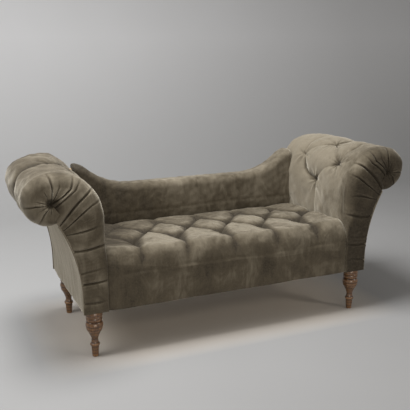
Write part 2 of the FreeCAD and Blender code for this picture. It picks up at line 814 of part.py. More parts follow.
def back_top_roll():
    """The stuffed edge over the top rail, rounding down to the outside back."""
    start = back_face_y + back_pad_thickness + clearance
    end = back_frame_y - clearance
    sections = []
    for share in (0.0, 0.4, 0.75, 1.0):
        inset = outside_back_drop * (1 - math.sqrt(1 - 0.98 * share ** 2))
        band = back_band(inset, back_top_padding - clearance, 0.0, start + (end - start) * share)
        sections.append(Part.Wire(Part.__sortEdges__(band)))
    return loft(sections)


def back_top_rail():
    band = back_band(back_top_padding, back_top_padding, back_top_rail_height, back_rail_y)
    return thick(Part.__sortEdges__(band), rail_thickness)


def below_top_rail():
    return thick(back_outline(back_top_padding, rail_top, back_rail_y, back_top_rail_height), rail_thickness)


def back_stile_centres():
    outer = half_seat - back_end_stile_inset
    return [-outer, -cross_rail_offset, cross_rail_offset, outer]


def back_stiles():
    stiles = []
    room = below_top_rail()
    tall = back_low_level + back_rise
    for x in back_stile_centres():
        half = back_stile_width / 2
        stiles.append(box(x - half, x + half, back_rail_y, back_frame_y, rail_top, tall).common(room))
    return Part.Compound(stiles)


def back_tacking_rails():
    centres = back_stile_centres()
    low = pad_bottom + tacking_rail_height / 2
    rails = []
    for left, right in zip(centres, centres[1:]):
        rails.append(box(left + back_stile_width / 2, right - back_stile_width / 2, back_rail_y, back_frame_y,
                         low, low + tacking_rail_height))
    return Part.Compound(rails)


def back_hessian():
    inset = back_top_padding + clearance
    return thick(back_outline(inset, pad_bottom, back_rail_y - cloth_thickness), cloth_thickness)


def outside_back():
    return thick(back_outline(outside_back_drop, leg_height, back_frame_y), outside_back_thickness)


# The whole chaise, one solid or group of like solids to a name
def all_nodes():
    front_left, back_left, front_right, back_right = at_each_leg(leg())
    up = rail_top
    nodes = {
        "front_left_leg": front_left,
        "back_left_leg": back_left,
        "front_right_leg": front_right,
        "back_right_leg": back_right,
        "leg_plates": Part.Compound(at_each_leg(leg_plate())),
        "hanger_bolts": Part.Compound(at_each_leg(hanger_bolt())),
        "front_seat_rail": box(-arm_core_x, arm_core_x, front_board_y, front_rail_back_y, frame_bottom, up),
        "back_seat_rail": box(-arm_core_x, arm_core_x, back_rail_y, back_frame_y, frame_bottom, up),
        "corner_blocks": corner_blocks(),
        "seat_springs": seat_springs(),
        "spring_clips": spring_clips(),
        "seat_stuffing": seat_stuffing(),
        "seat_cover": seat_cover(),
        "seat_buttons": seat_buttons(),
        "tufting_twines": tufting_twines(),
        "seat_front_border": seat_front_border(),
        "inside_back": inside_back(),
        "back_top_roll": back_top_roll(),
        "back_top_rail": back_top_rail(),
        "back_stiles": back_stiles(),
        "back_tacking_rails": back_tacking_rails(),
        "back_hessian": back_hessian(),
        "outside_back": outside_back(),
    }
    cross = box(cross_rail_offset - cross_rail_width / 2, cross_rail_offset + cross_rail_width / 2,
                front_rail_back_y, back_rail_y, frame_bottom, frame_bottom + cross_rail_height)
    nodes["seat_cross_rails"] = on_both_sides(cross)
    hessian_x = arm_core_x - clearance
    nodes["seat_hessian"] = box(-hessian_x, hessian_x, front_board_y, back_rail_y - clearance,
                                hessian_bottom, hessian_top)
    nodes["dust_cover"] = dust_cover()
    end_rail = box(end_rail_x, arm_core_x, front_rail_back_y, back_rail_y, frame_bottom, hessian_bottom - clearance)
    arm_nodes = {
        "end_rail": end_rail,
        "arm_base_rail": arm_base_rail(),
        "arm_front_scroll_board": scroll_board(front_board_y),
        "arm_back_scroll_board": scroll_board(rear_board_y - scroll_board_thickness),
        "arm_roll_rail": between_boards(roll_rail_edges),
        "arm_tacking_rail": arm_tacking_rail(),
        "arm_hessian": arm_hessian(),
        "inside_arm": inside_arm(),
        "arm_front": crowned_arm_end(front_board_y - clearance, -half_depth, arm_front_crown),
        "arm_rear": crowned_arm_end(rear_board_y + clearance, half_depth, arm_rear_crown),
        "outside_arm": outside_arm(),
        "arm_buttons": Part.Compound([button(seat, out) for seat, out in arm_button_places()]),
    }
    for name, shape in arm_nodes.items():
        nodes["right_" + name] = shape
        nodes["left_" + name] = mirrored(shape)
    return nodes


os.makedirs("parts", exist_ok=True)
for name, shape in all_nodes().items():
    shape.exportStep("parts/" + name + ".step")
    print(name, len(shape.Solids), round(shape.Volume), shape.isValid())
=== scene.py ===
import json
import math

import bpy
import numpy as np
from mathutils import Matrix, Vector


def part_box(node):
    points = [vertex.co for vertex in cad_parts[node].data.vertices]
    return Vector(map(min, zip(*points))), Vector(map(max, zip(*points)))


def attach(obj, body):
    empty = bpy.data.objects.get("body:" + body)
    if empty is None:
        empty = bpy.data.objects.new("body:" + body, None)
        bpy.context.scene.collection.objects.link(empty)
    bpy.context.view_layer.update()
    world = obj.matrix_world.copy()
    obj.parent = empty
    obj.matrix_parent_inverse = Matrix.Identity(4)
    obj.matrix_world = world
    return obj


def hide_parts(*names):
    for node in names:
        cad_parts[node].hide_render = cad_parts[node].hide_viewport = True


# A chaise longue in brushed taupe velvet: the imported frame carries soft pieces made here.
# Metres, in the frame's own axes: X along the seat, Y from the front to the back, Z up.
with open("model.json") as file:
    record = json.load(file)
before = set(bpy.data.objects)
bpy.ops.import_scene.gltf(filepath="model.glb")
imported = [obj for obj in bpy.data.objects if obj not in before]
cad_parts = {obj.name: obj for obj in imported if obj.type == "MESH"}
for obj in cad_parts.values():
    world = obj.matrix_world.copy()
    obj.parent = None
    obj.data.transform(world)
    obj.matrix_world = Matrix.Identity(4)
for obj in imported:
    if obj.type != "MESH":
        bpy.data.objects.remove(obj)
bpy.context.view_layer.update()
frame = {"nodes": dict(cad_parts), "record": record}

# Sizes read from the frame
seat_low, seat_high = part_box("seat_cover")
border_low, border_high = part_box("seat_front_border")
arm_low, arm_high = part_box("right_inside_arm")
panel_low, panel_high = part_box("right_outside_arm")
back_low, back_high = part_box("inside_back")
outside_back_low, outside_back_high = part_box("outside_back")
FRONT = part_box("right_arm_front")[0].y
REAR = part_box("right_arm_rear")[1].y
BOTTOM = border_low.z
HALF_SEAT = arm_low.x
PANEL_THICKNESS = 0.008
ARM_OUTER = panel_low.x + PANEL_THICKNESS
PAD_BOTTOM = arm_low.z

# The arm's scroll, as the frame has it
ROLL_RADIUS = 0.102
CURVE_LEVEL = 0.600
ROLL_X = arm_high.x - ROLL_RADIUS
ROLL_Z = 0.685
OUTER_LEVEL = 0.270
OUTER_RADIUS = 0.637
GATHER = np.array([0.793, 0.676])

# Steps of the fine grids, of the simulated ones, and of a pad's hidden side in fine steps
GRID = 0.0040
ARM_GRID = 0.0034
SIM_GRID = 0.0085
HIDDEN_STEP = 6
QUARTER = math.pi / 2

# Cloth simulation: it swells by at most about the cap, and hardly moves where it is sewn
CLOTH_PRESSURE = 2.2
CLOTH_CAP = 0.006
CLOTH_FRAMES = 20
CLOTH_SETTINGS = {"quality": 6, "mass": 0.3, "tension_stiffness": 12, "compression_stiffness": 12,
                  "shear_stiffness": 4, "bending_stiffness": 4.0, "pin_stiffness": 1.0,
                  "use_pressure": True, "uniform_pressure_force": CLOTH_PRESSURE}
SEWN_HOLD = 0.95
HELD_AT_BUTTON = 0.022
HELD_FADE = 0.012

# Padding and covers
SIDE_GAP = 0.0003
SEAT_END_DROP = 0.010
FRONT_ROUND_DEPTH = 0.047
FRONT_ROUND_INSET = 0.038
FOOT_ROUND = 0.007
TUCK_LENGTH = 0.035
FRONT_COVER = 0.016
ROUND_COLUMNS = 16
FACE_COLUMNS = 39
ROLL_END_EXTRA = 0.012
ARM_TUFT = 0.033
ARM_WALL = 0.034
LEFT_DROOP = 0.060
RIGHT_DROOP = 0.020
DROOP_START = 0.080
REAR_ROUND = 0.012
REAR_SEAM = 0.0052
WELT_RADIUS = 0.0030
WELT_STAND = 0.0004

# Fine rings scored into the turned legs: this wave scale sets one about every 16 mm
LEG_RING_SCALE = 20.0

# Velvet: the colour of pile from dark through plain to light, showing both pile brushed at random and
# painted light and shade, its dust and its depths, and its sheen
PILE_DARK = (0.024, 0.019, 0.013)
PILE_PLAIN = (0.076, 0.062, 0.041)
PILE_LIGHT = (0.205, 0.178, 0.132)
PILE_DUST = (0.130, 0.108, 0.076)
PILE_ROOT = (0.045, 0.036, 0.025)
PILE_SHEEN = (0.70, 0.65, 0.55, 1)
# How far the painted light and shade laid on each piece moves the pile's colour
PAINTED_LIGHT_SHARE = 0.12

# Studio: the sweep's colours from the front to the wall, and the warm light that the seat throws down
FLOOR_NEAR = (0.310, 0.309, 0.309)
FLOOR_FAR = (0.385, 0.385, 0.385)
WALL = (0.68, 0.684, 0.696)
UNDER_SEAT = (0.82, 0.71, 0.58)
SWEEP_START = 2.0
SWEEP_RADIUS = 1.8
SWEEP_REACH = 9.0
WALL_TOP = 7.0
# Each light: its place, what it points at, its width, power and colour
LIGHTS = {
    "overhead": ((-0.8, 0.0, 3.5), (0.0, 0.0, 0.3), 1.6, 135, (1.0, 1.0, 1.0)),
    "key": ((-3.0, -0.3, 3.4), (0.0, 0.2, 0.4), 2.6, 72, (1.0, 1.0, 1.0)),
    "fill": ((2.9, -3.2, 2.2), (0.0, 0.0, 0.3), 0.6, 22, (1.0, 0.95, 0.88)),
    "front": ((-0.6, -4.6, 0.7), (0.0, 0.0, 0.2), 2.2, 46, (1.0, 0.92, 0.82)),
}
WORLD_COLOUR = (1.0, 0.97, 0.93, 1)
WORLD_STRENGTH = 0.34

# Camera
CAMERA_PLACE = (-1.2495, -2.805, 1.294)
CAMERA_AZIMUTH = -23.73
CAMERA_PITCH = -14.08
CAMERA_LENS = 58.65
CAMERA_SENSOR = 36.0


# Small helpers
def smooth(x):
    """A soft step from 0 to 1."""
    x = np.clip(x, 0.0, 1.0)
    return x * x * (3 - 2 * x)


def ripple(a, b, pitch, seed, count=7):
    """Slow waves of about that pitch, from about -1 to 1."""
    rng = np.random.default_rng(seed)
    total = np.zeros(np.broadcast(a, b).shape)
    for _ in range(count):
        turn = rng.uniform(0, 2 * math.pi)
        wave = 2 * math.pi / (pitch * rng.uniform(0.7, 1.7))
        phase = rng.uniform(0, 2 * math.pi)
        total += np.sin(wave * (a * math.cos(turn) + b * math.sin(turn)) + phase)
    return total / math.sqrt(count)


def along_path(a, b, path):
    """For each point: the distance to a path, how far along it, and the side (-1 or 1)."""
    path = np.asarray(path, float)
    lengths = np.hypot(*(path[1:] - path[:-1]).T)
    ends = np.concatenate([[0.0], np.cumsum(lengths)])
    best = np.full(a.shape, np.inf)
    share = np.zeros(a.shape)
    side = np.ones(a.shape)
    for i, length in enumerate(lengths):
        step = (path[i + 1] - path[i]) / length
        da, db = a - path[i, 0], b - path[i, 1]
        on = np.clip(da * step[0] + db * step[1], 0, length)
        distance = np.hypot(da - on * step[0], db - on * step[1])
        nearer = distance < best
        best = np.where(nearer, distance, best)
        share = np.where(nearer, (ends[i] + on) / ends[-1], share)
        side = np.where(nearer, np.sign(step[0] * db - step[1] * da), side)
    return best, share, side


def bowed(start, end, bow, steps=6):
    """A path from start to end that bows out to its left by bow."""
    start, end = np.asarray(start, float), np.asarray(end, float)
    across = np.array([-(end - start)[1], (end - start)[0]])
    across = across / np.hypot(*across)
    shares = np.linspace(0, 1, steps)
    return [start + (end - start) * s + across * bow * math.sin(math.pi * s) for s in shares]


def fold(a, b, path, deep, width, lean=0.0, crease=0.6):
    """How deep a sewn fold lies: deep gives the start, middle and end, width the pillow's half width."""
    distance, share, side = along_path(a, b, path)
    start, middle, end = deep
    early = np.clip(1 - 2 * share, 0, 1) ** 1.9
    late = np.clip(2 * share - 1, 0, 1) ** 1.9
    depth = middle + (start - middle) * early + (end - middle) * late
    x = np.clip(distance / (width * (1 + lean * side)), 0, 1)
    round_side = 1 - np.sqrt(1 - (1 - x) ** 2)
    return depth * (crease * round_side + (1 - crease) * (1 - x) ** 2.4)


def dimple(a, b, centre, deep, radius):
    """How deep the cloth is drawn in round a button."""
    x = np.clip(np.hypot(a - centre[0], b - centre[1]) / radius, 0, 1)
    return deep * (1 - x) ** 1.6


def gathers(a, b, centre, height, reach, seed):
    """Small creases that run out from a button."""
    rng = np.random.default_rng(seed)
    da, db = a - centre[0], b - centre[1]
    distance = np.hypot(da, db)
    turn = np.arctan2(db, da)
    total = np.zeros(a.shape)
    for count in rng.integers(7, 15, 3):
        total += np.sin(count * turn + rng.uniform(0, 6.3) + 25 * distance * rng.uniform(-1, 1))
    fade = smooth((distance - 0.007) / 0.012) * np.exp(-np.clip(distance - 0.015, 0, None) / reach)
    return height * total / 1.7 * fade


def islands(node):
    """The centre of each separate solid in a node, in the order of X and then Y."""
    mesh = frame["nodes"][node].data
    count = len(mesh.vertices)
    places = np.zeros(count * 3)
    mesh.vertices.foreach_get("co", places)
    places = places.reshape(-1, 3)
    keys = {}
    owner = np.zeros(count, int)
    for i, place in enumerate(np.round(places, 5)):
        owner[i] = keys.setdefault(tuple(place), len(keys))
    parent = list(range(len(keys)))

    def find(i):
        while parent[i] != i:
            parent[i] = parent[parent[i]]
            i = parent[i]
        return i

    for edge in mesh.edges:
        parent[find(owner[edge.vertices[0]])] = find(owner[edge.vertices[1]])
    groups = {}
    for i in range(count):
        groups.setdefault(find(owner[i]), []).append(places[i])
    centres = [(np.min(g, 0) + np.max(g, 0)) / 2 for g in groups.values()]
    return sorted(centres, key=lambda c: (round(c[0], 3), round(c[1], 3)))


# Mesh makers
def new_object(name, places, faces, material):
    """A smooth-shaded mesh object."""
    mesh = bpy.data.meshes.new(name)
    mesh.from_pydata([tuple(p) for p in places], [], faces)
    mesh.update()
    mesh.validate()
    mesh.polygons.foreach_set("use_smooth", [True] * len(mesh.polygons))
    thing = bpy.data.objects.new(name, mesh)
    bpy.context.scene.collection.objects.link(thing)
    mesh.materials.append(material)
    return thing


def grid_faces(rows, columns, first, flip):
    """The faces of a grid of points."""
    index = first + np.arange(rows * columns).reshape(rows, columns)
    quads = np.stack([index[:-1, :-1], index[1:, :-1], index[1:, 1:], index[:-1, 1:]], -1).reshape(-1, 4)
    return quads[:, ::-1].tolist() if flip else quads.tolist()


def ring_faces(rings, sides, first=0):
    """The faces between rings of points that follow one another."""
    here = first + np.arange(rings * sides).reshape(rings, sides)
    beside = np.roll(here, -1, 1)
    return np.stack([here[:-1], beside[:-1], beside[1:], here[1:]], -1).reshape(-1, 4)


def border_loop(rows, columns, first):
    """The points round the edge of a grid."""
    index = first + np.arange(rows * columns).reshape(rows, columns)
    return np.concatenate([index[0, :-1], index[:-1, -1], index[-1, :0:-1], index[:0:-1, 0]])


def closed_pad(name, outer, inner, mirror=False):
    """A closed velvet body: a fine outer grid, a coarse inner grid, and the edge between them."""
    rows, columns = outer.shape[:2]
    pick_rows = np.unique(np.append(np.arange(0, rows, HIDDEN_STEP), rows - 1))
    pick_columns = np.unique(np.append(np.arange(0, columns, HIDDEN_STEP), columns - 1))
    coarse = inner[np.ix_(pick_rows, pick_columns)]
    places = np.concatenate([outer.reshape(-1, 3), coarse.reshape(-1, 3)])
    first = rows * columns
    faces = grid_faces(rows, columns, 0, mirror)
    faces += grid_faces(len(pick_rows), len(pick_columns), first, not mirror)
    fine_loop = border_loop(rows, columns, 0)
    coarse_loop = border_loop(len(pick_rows), len(pick_columns), first)
    down, across = rows - 1, columns - 1
    corner_at = np.concatenate([
        pick_columns[:-1], across + pick_rows[:-1],
        2 * across + down - pick_columns[:0:-1], 2 * (across + down) - pick_rows[:0:-1]])
    total = len(fine_loop)
    count = len(coarse_loop)
    for i in range(count):
        here, after = int(corner_at[i]), int(corner_at[(i + 1) % count])
        after = after if after > here else after + total
        split = (here + after) // 2
        near, far = int(coarse_loop[i]), int(coarse_loop[(i + 1) % count])
        edge = [[int(fine_loop[k % total]), int(fine_loop[(k + 1) % total]), near if k < split else far]
                for k in range(here, after)]
        edge.append([int(fine_loop[split % total]), far, near])
        faces += [face[::-1] if mirror else face for face in edge]
    return new_object(name, places, faces, velvet)


def tube(name, path, radius, sides=8):
    """A thin closed velvet tube along a path, as a welt."""
    tangent = np.gradient(path, axis=0)
    tangent /= np.linalg.norm(tangent, axis=1)[:, None]
    side = np.cross(tangent[0], (0.0, 0.0, 1.0) if abs(tangent[0][2]) < 0.9 else (0.0, 1.0, 0.0))
    turn = np.arange(sides)[:, None] * 2 * math.pi / sides
    places = []
    for place, along in zip(path, tangent):
        side = side - along * side.dot(along)
        side /= np.linalg.norm(side)
        places.append(place + radius * (np.cos(turn) * side + np.sin(turn) * np.cross(along, side)))
    last = (len(path) - 1) * sides
    faces = ring_faces(len(path), sides).tolist()
    faces += [list(range(sides))[::-1], list(range(last, last + sides))]
    return new_object(name, np.concatenate(places), faces, velvet)


def finer(field, rows, columns):
    """A grid of values spread to a finer grid."""
    old_rows = np.linspace(0, 1, field.shape[0])
    old_columns = np.linspace(0, 1, field.shape[1])
    new_rows = np.linspace(0, 1, rows)
    new_columns = np.linspace(0, 1, columns)
    tall = np.stack([np.interp(new_rows, old_rows, field[:, j]) for j in range(field.shape[1])], 1)
    return np.stack([np.interp(new_columns, old_columns, tall[i]) for i in range(rows)], 0)


def inflate(places, held):
    """Cloth simulation of an open grid held where held is 1: how far each point moves."""
    rows, columns = places.shape[:2]
    sheet = new_object("simulated", places.reshape(-1, 3), grid_faces(rows, columns, 0, False), velvet)
    group = sheet.vertex_groups.new(name="held")
    for i, weight in enumerate(held.reshape(-1)):
        group.add([i], float(weight), "REPLACE")
    cloth = sheet.modifiers.new("Cloth", "CLOTH")
    for key, value in CLOTH_SETTINGS.items():
        setattr(cloth.settings, key, value)
    cloth.settings.vertex_group_mass = "held"
    cloth.settings.effector_weights.gravity = 0
    cloth.collision_settings.use_collision = False
    cloth.point_cache.frame_start = 1
    cloth.point_cache.frame_end = CLOTH_FRAMES
    for number in range(1, CLOTH_FRAMES + 1):
        bpy.context.scene.frame_set(number)
    result = sheet.evaluated_get(bpy.context.evaluated_depsgraph_get()).to_mesh()
    moved = np.zeros(rows * columns * 3)
    result.vertices.foreach_get("co", moved)
    moved = moved.reshape(rows, columns, 3) - places
    bpy.data.objects.remove(sheet)
    bpy.context.scene.frame_set(1)
    size = np.linalg.norm(moved, axis=2, keepdims=True)
    return moved / np.sqrt(1 + (size / CLOTH_CAP) ** 2)


def swell(coarse, held, buttons, sewn, sewn_width, shape, flip=False):
    """How far the padding moves each fine point; buttons holds the coarse points' distances to each."""
    for away in buttons:
        held = np.maximum(held, smooth((HELD_AT_BUTTON - away) / HELD_FADE))
    held = np.maximum(held, SEWN_HOLD * smooth((sewn - 0.004) / sewn_width))
    step = -1 if flip else 1
    moved = inflate(coarse[:, ::step], held[:, ::step])[:, ::step]
    return np.stack([finer(moved[..., k], *shape) for k in range(3)], -1)


# Materials
class Nodes:
    """A short way to write a material's nodes."""

    def __init__(self, name):
        self.material = bpy.data.materials.new(name)
        self.material.use_nodes = True
        self.tree = self.material.node_tree
        self.shader = self.tree.nodes["Principled BSDF"]

    def add(self, kind, *links, **values):
        node = self.tree.nodes.new(kind)
        for key, value in values.items():
            if hasattr(node, key):
                setattr(node, key, value)
            else:
                node.inputs[key.replace("_", " ")].default_value = value
        for socket, source in links:
            self.tree.links.new(source, node.inputs[socket])
        return node

    def place(self, scale, turn=(0, 0, 0)):
        """Object coordinates, stretched."""
        at = self.add("ShaderNodeTexCoord").outputs["Object"]
        return self.add("ShaderNodeMapping", ("Vector", at), Scale=scale, Rotation=turn).outputs["Vector"]

    def noise(self, at, scale, detail=3.0, roughness=0.5, distortion=0.0):
        """Soft noise of that scale."""
        return self.add("ShaderNodeTexNoise", ("Vector", at), Scale=scale, Detail=detail,
                        Roughness=roughness, Distortion=distortion).outputs["Fac"]

    def ramp(self, value, *stops):
        """A run of colours, each at its place from 0 to 1."""
        node = self.add("ShaderNodeValToRGB", ("Fac", value))
        ramp = node.color_ramp
        while len(ramp.elements) < len(stops):
            ramp.elements.new(0.5)
        for element, (position, colour) in zip(ramp.elements, stops):
            element.position = position
            element.color = (*colour, 1)
        return node.outputs["Color"]

    def span(self, value, low, high, to_low, to_high):
        """The value's range spread to another one."""
        node = self.add("ShaderNodeMapRange", ("Value", value))
        for key, number in zip(("From Min", "From Max", "To Min", "To Max"), (low, high, to_low, to_high)):
            node.inputs[key].default_value = number
        return node.outputs["Result"]

    def feed(self, node, *values):
        """Link each value to its socket, or set it there."""
        for index, value in values:
            if hasattr(value, "is_output"):
                self.tree.links.new(value, node.inputs[index])
            else:
                node.inputs[index].default_value = value
        return node

    def mix(self, share, one, two):
        """One colour turned into another by a share."""
        node = self.tree.nodes.new("ShaderNodeMix")
        node.data_type = "RGBA"
        one, two = ((*value, 1) if isinstance(value, tuple) else value for value in (one, two))
        return self.feed(node, (0, share), (6, one), (7, two)).outputs[2]

    def maths(self, operation, one, two=0.0):
        """A sum, a product or another operation on two values."""
        node = self.tree.nodes.new("ShaderNodeMath")
        node.operation = operation
        return self.feed(node, (0, one), (1, two)).outputs[0]

    def bump(self, height, strength, distance, normal=None):
        """Relief of that depth, over another one."""
        links = [("Height", height)] + ([("Normal", normal)] if normal is not None else [])
        return self.add("ShaderNodeBump", *links, Strength=strength, Distance=distance).outputs["Normal"]

    def finish(self, links, **values):
        """Set the shader's sockets and give the material."""
        for key, value in values.items():
            self.shader.inputs[key.replace("_", " ")].default_value = value
        for key, source in links.items():
            self.tree.links.new(source, self.shader.inputs[key])
        return self.material


def make_velvet():
    """Brushed taupe velvet: nap laid in soft patches and streaks, light and shade painted at each point by
    the pieces, a fine pile and a pale sheen.
    """
    n = Nodes("velvet")
    at = n.place((1, 1, 1))
    patches = n.noise(at, 5.5, 3.0, 0.55, 0.6)
    hand_marks = n.noise(n.place((1.0, 1.0, 0.6), (0.3, 0.5, 0.2)), 15.0, 5.0, 0.62, 1.6)
    streaks = n.noise(n.place((9.0, 9.0, 0.9)), 9.0, 3.0, 0.6, 0.2)
    mottle = n.noise(at, 120.0, 3.0, 0.65)
    pile = n.noise(at, 900.0, 2.0, 0.6)
    nap_and_painted_light = n.maths("ADD", n.maths("MULTIPLY", patches, 0.46), n.maths("MULTIPLY", hand_marks, 0.42))
    nap_and_painted_light = n.maths("ADD", nap_and_painted_light, n.maths("MULTIPLY", streaks, 0.12))
    # Painted light and shade: the value laid on each piece's points moves the pile from dark to light
    painted_light = n.add("ShaderNodeAttribute", attribute_name="nap_and_painted_light").outputs["Fac"]
    nap_and_painted_light = n.maths("ADD", nap_and_painted_light, n.maths("MULTIPLY", painted_light, PAINTED_LIGHT_SHARE))
    colour = n.ramp(nap_and_painted_light, (0.30, PILE_DARK), (0.50, PILE_PLAIN), (0.70, PILE_LIGHT))
    colour = n.mix(n.span(mottle, 0.3, 0.7, 0.0, 0.35), colour, PILE_DUST)
    colour = n.mix(n.span(pile, 0.3, 0.7, 0.0, 0.30), colour, PILE_ROOT)
    crushed = n.bump(nap_and_painted_light, 0.35, 0.012)
    ruffled = n.bump(mottle, 0.35, 0.0016, crushed)
    normal = n.bump(pile, 0.4, 0.0006, ruffled)
    rough = n.span(hand_marks, 0.3, 0.7, 0.72, 0.92)
    # The sheen is stronger where the pile is lighter, the painted light included
    sheen = n.span(nap_and_painted_light, 0.34, 0.68, 0.15, 1.0)
    return n.finish({"Base Color": colour, "Normal": normal, "Roughness": rough, "Sheen Weight": sheen},
                    Specular_IOR_Level=0.15, Sheen_Roughness=0.42, Sheen_Tint=PILE_SHEEN)


def make_polished_wood():
    """Golden brown turned wood: long grain, dark pores, dark scored rings and a thin polish."""
    n = Nodes("polished_wood")
    grain = n.noise(n.place((26.0, 26.0, 2.2)), 5.0, 6.0, 0.62, 0.7)
    pores = n.noise(n.place((260.0, 260.0, 14.0)), 3.0, 2.0, 0.6)
    cloud = n.noise(n.place((1, 1, 1)), 26.0, 3.0, 0.5)
    colour = n.ramp(grain, (0.30, (0.065, 0.027, 0.009)), (0.50, (0.170, 0.080, 0.027)),
                    (0.72, (0.34, 0.18, 0.07)))
    colour = n.mix(n.span(pores, 0.52, 0.66, 0.0, 0.6), colour, (0.035, 0.014, 0.006))
    colour = n.mix(n.span(cloud, 0.35, 0.65, 0.0, 0.35), colour, (0.26, 0.13, 0.05))
    # Darker in the hollows of the turning; the ridges keep the grain's colour
    convexity = n.span(n.add("ShaderNodeNewGeometry").outputs["Pointiness"], 0.46, 0.53, 0.0, 1.0)
    colour = n.mix(convexity, n.mix(0.75, colour, (0.025, 0.010, 0.005)), colour)
    rings = n.add("ShaderNodeTexWave", ("Vector", n.place((1, 1, 1))), bands_direction="Z",
                  Scale=LEG_RING_SCALE, Distortion=0.4, Detail=1.0, Detail_Scale=4.0).outputs["Fac"]
    score = n.span(rings, 0.0, 0.22, 1.0, 0.0)
    colour = n.mix(n.maths("MULTIPLY", score, 0.8), colour, (0.028, 0.011, 0.005))
    scored = n.bump(score, -0.5, 0.0012)
    normal = n.bump(pores, 0.25, 0.0004, n.bump(grain, 0.15, 0.0008, scored))
    rough = n.span(cloud, 0.3, 0.7, 0.24, 0.42)
    return n.finish({"Base Color": colour, "Normal": normal, "Roughness": rough}, Coat_Weight=0.5,
                    Coat_Roughness=0.18, Specular_IOR_Level=0.5)


def make_frame_timber():
    """Pale sawn timber, for the frame under the covers."""
    n = Nodes("frame_timber")
    grain = n.noise(n.place((3.0, 40.0, 40.0)), 3.0, 5.0, 0.6, 0.6)
    colour = n.ramp(grain, (0.3, (0.33, 0.21, 0.11)), (0.55, (0.50, 0.35, 0.20)),
                    (0.75, (0.60, 0.45, 0.27)))
    return n.finish({"Base Color": colour, "Normal": n.bump(grain, 0.3, 0.001)}, Roughness=0.7)


def make_steel():
    """Drawn spring steel with worn marks."""
    n = Nodes("steel")
    marks = n.noise(n.place((1, 1, 1)), 160.0, 3.0, 0.6)
    colour = n.ramp(marks, (0.35, (0.30, 0.30, 0.31)), (0.7, (0.48, 0.48, 0.49)))
    return n.finish({"Base Color": colour, "Roughness": n.span(marks, 0.3, 0.7, 0.28, 0.5),
                     "Normal": n.bump(marks, 0.2, 0.0004)}, Metallic=1.0)


def make_weave(name, thread, gap, pitch):
    """A plain open weave for hessian, cambric and twine."""
    n = Nodes(name)
    at = n.place((1, 1, 1))
    across, along = (n.add("ShaderNodeTexWave", ("Vector", at), bands_direction=way, Scale=1 / pitch,
                           Distortion=0.6, Detail=1.0).outputs["Fac"] for way in "XY")
    cross = n.maths("MAXIMUM", across, along)
    slubs = n.noise(at, 90.0, 4.0, 0.6)
    colour = n.mix(cross, gap, thread)
    colour = n.mix(n.span(slubs, 0.4, 0.7, 0.0, 0.4), colour, tuple(c * 0.6 for c in thread))
    return n.finish({"Base Color": colour, "Normal": n.bump(cross, 0.5, 0.0008)}, Roughness=0.9)


def make_stuffing():
    """Pale tufted fibre."""
    n = Nodes("stuffing")
    tufts = n.noise(n.place((1, 1, 1)), 60.0, 6.0, 0.7, 0.5)
    colour = n.ramp(tufts, (0.3, (0.45, 0.40, 0.32)), (0.7, (0.68, 0.64, 0.56)))
    return n.finish({"Base Color": colour, "Normal": n.bump(tufts, 0.6, 0.004)}, Roughness=0.95)


velvet = make_velvet()
finishes = {
    "velvet": velvet,
    "polished_wood": make_polished_wood(),
    "frame_timber": make_frame_timber(),
    "steel": make_steel(),
    "hessian": make_weave("hessian", (0.36, 0.27, 0.16), (0.12, 0.08, 0.04), 0.004),
    "stuffing": make_stuffing(),
    "twine": make_weave("twine", (0.42, 0.34, 0.22), (0.20, 0.15, 0.09), 0.002),
    "cambric": make_weave("cambric", (0.030, 0.028, 0.026), (0.012, 0.011, 0.010), 0.0015),
}


def dress_nodes():
    """Each node that stays from the frame gets its slot's finish."""
    for entry in frame["record"]["subparts"]:
        mesh = frame["nodes"][entry["node"]].data
        mesh.materials.clear()
        mesh.materials.append(finishes[entry["material_slot"]])


def lay_painted_light(thing, values):
    """Painted light and shade at each point: 1 is painted lighter and -1 painted darker."""
    layer = thing.data.attributes.new("nap_and_painted_light", "FLOAT", "POINT")
    full = np.zeros(len(thing.data.vertices))
    values = np.asarray(values, float).reshape(-1)
    full[:len(values)] = values
    layer.data.foreach_set("value", full)


def piece(thing, nodes):
    """Attach a padded piece to the root body and hide the frame nodes that it stands for."""
    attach(thing, "root")
    if nodes:
        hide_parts(*nodes)


# The seat: one quilted cover from the back, over the front edge and down to the bottom of the front
SEAT_FRONT = seat_low.y + 0.0010
SEAT_BACK = seat_high.y
SEAT_TOP = seat_high.z
SEAT_BACK_TOP = 0.436
FRONT_ROUND = 0.068
FRONT_ROUND_LEVEL = 0.371
SEAT_TUCK = 0.020
HEM_ROUND = 0.006
HEM_DEPTH = 0.026
HEM_LIFT = 0.0004
SEAT_BUTTONS = islands("seat_buttons")
BUTTON_LEVEL = 0.402
EDGE_LENGTH = 0.126
ROW_OFFSET = 0.104


def seat_profile():
    """The seat's outline from the back to the front and down, as Y and Z, and how far along it."""
    round_y = SEAT_FRONT + FRONT_ROUND
    fall = (SEAT_TOP - SEAT_BACK_TOP) / (SEAT_BACK - SEAT_FRONT)
    round_top = SEAT_TOP - fall * FRONT_ROUND
    y = np.linspace(SEAT_BACK + SEAT_TUCK, round_y, 60)
    turn = np.linspace(0, QUARTER, 40)[1:]
    down = np.linspace(FRONT_ROUND_LEVEL, BOTTOM + HEM_ROUND, 30)[1:]
    hem = np.linspace(0, QUARTER, 8)[1:]
    parts = [
        (y, round_top - fall * (y - round_y)),
        (round_y - FRONT_ROUND * np.sin(turn),
         FRONT_ROUND_LEVEL + (round_top - FRONT_ROUND_LEVEL) * np.cos(turn)),
        (np.full(down.shape, SEAT_FRONT), down),
        (SEAT_FRONT + HEM_ROUND * (1 - np.cos(hem)), BOTTOM + HEM_ROUND * (1 - np.sin(hem))),
        ([SEAT_FRONT + HEM_DEPTH], [BOTTOM + HEM_LIFT]),
    ]
    points = np.concatenate([np.stack(part, -1) for part in parts])
    lengths = np.concatenate([[0], np.cumsum(np.hypot(*np.diff(points, axis=0).T))])
    return points[:, 0], points[:, 1], lengths


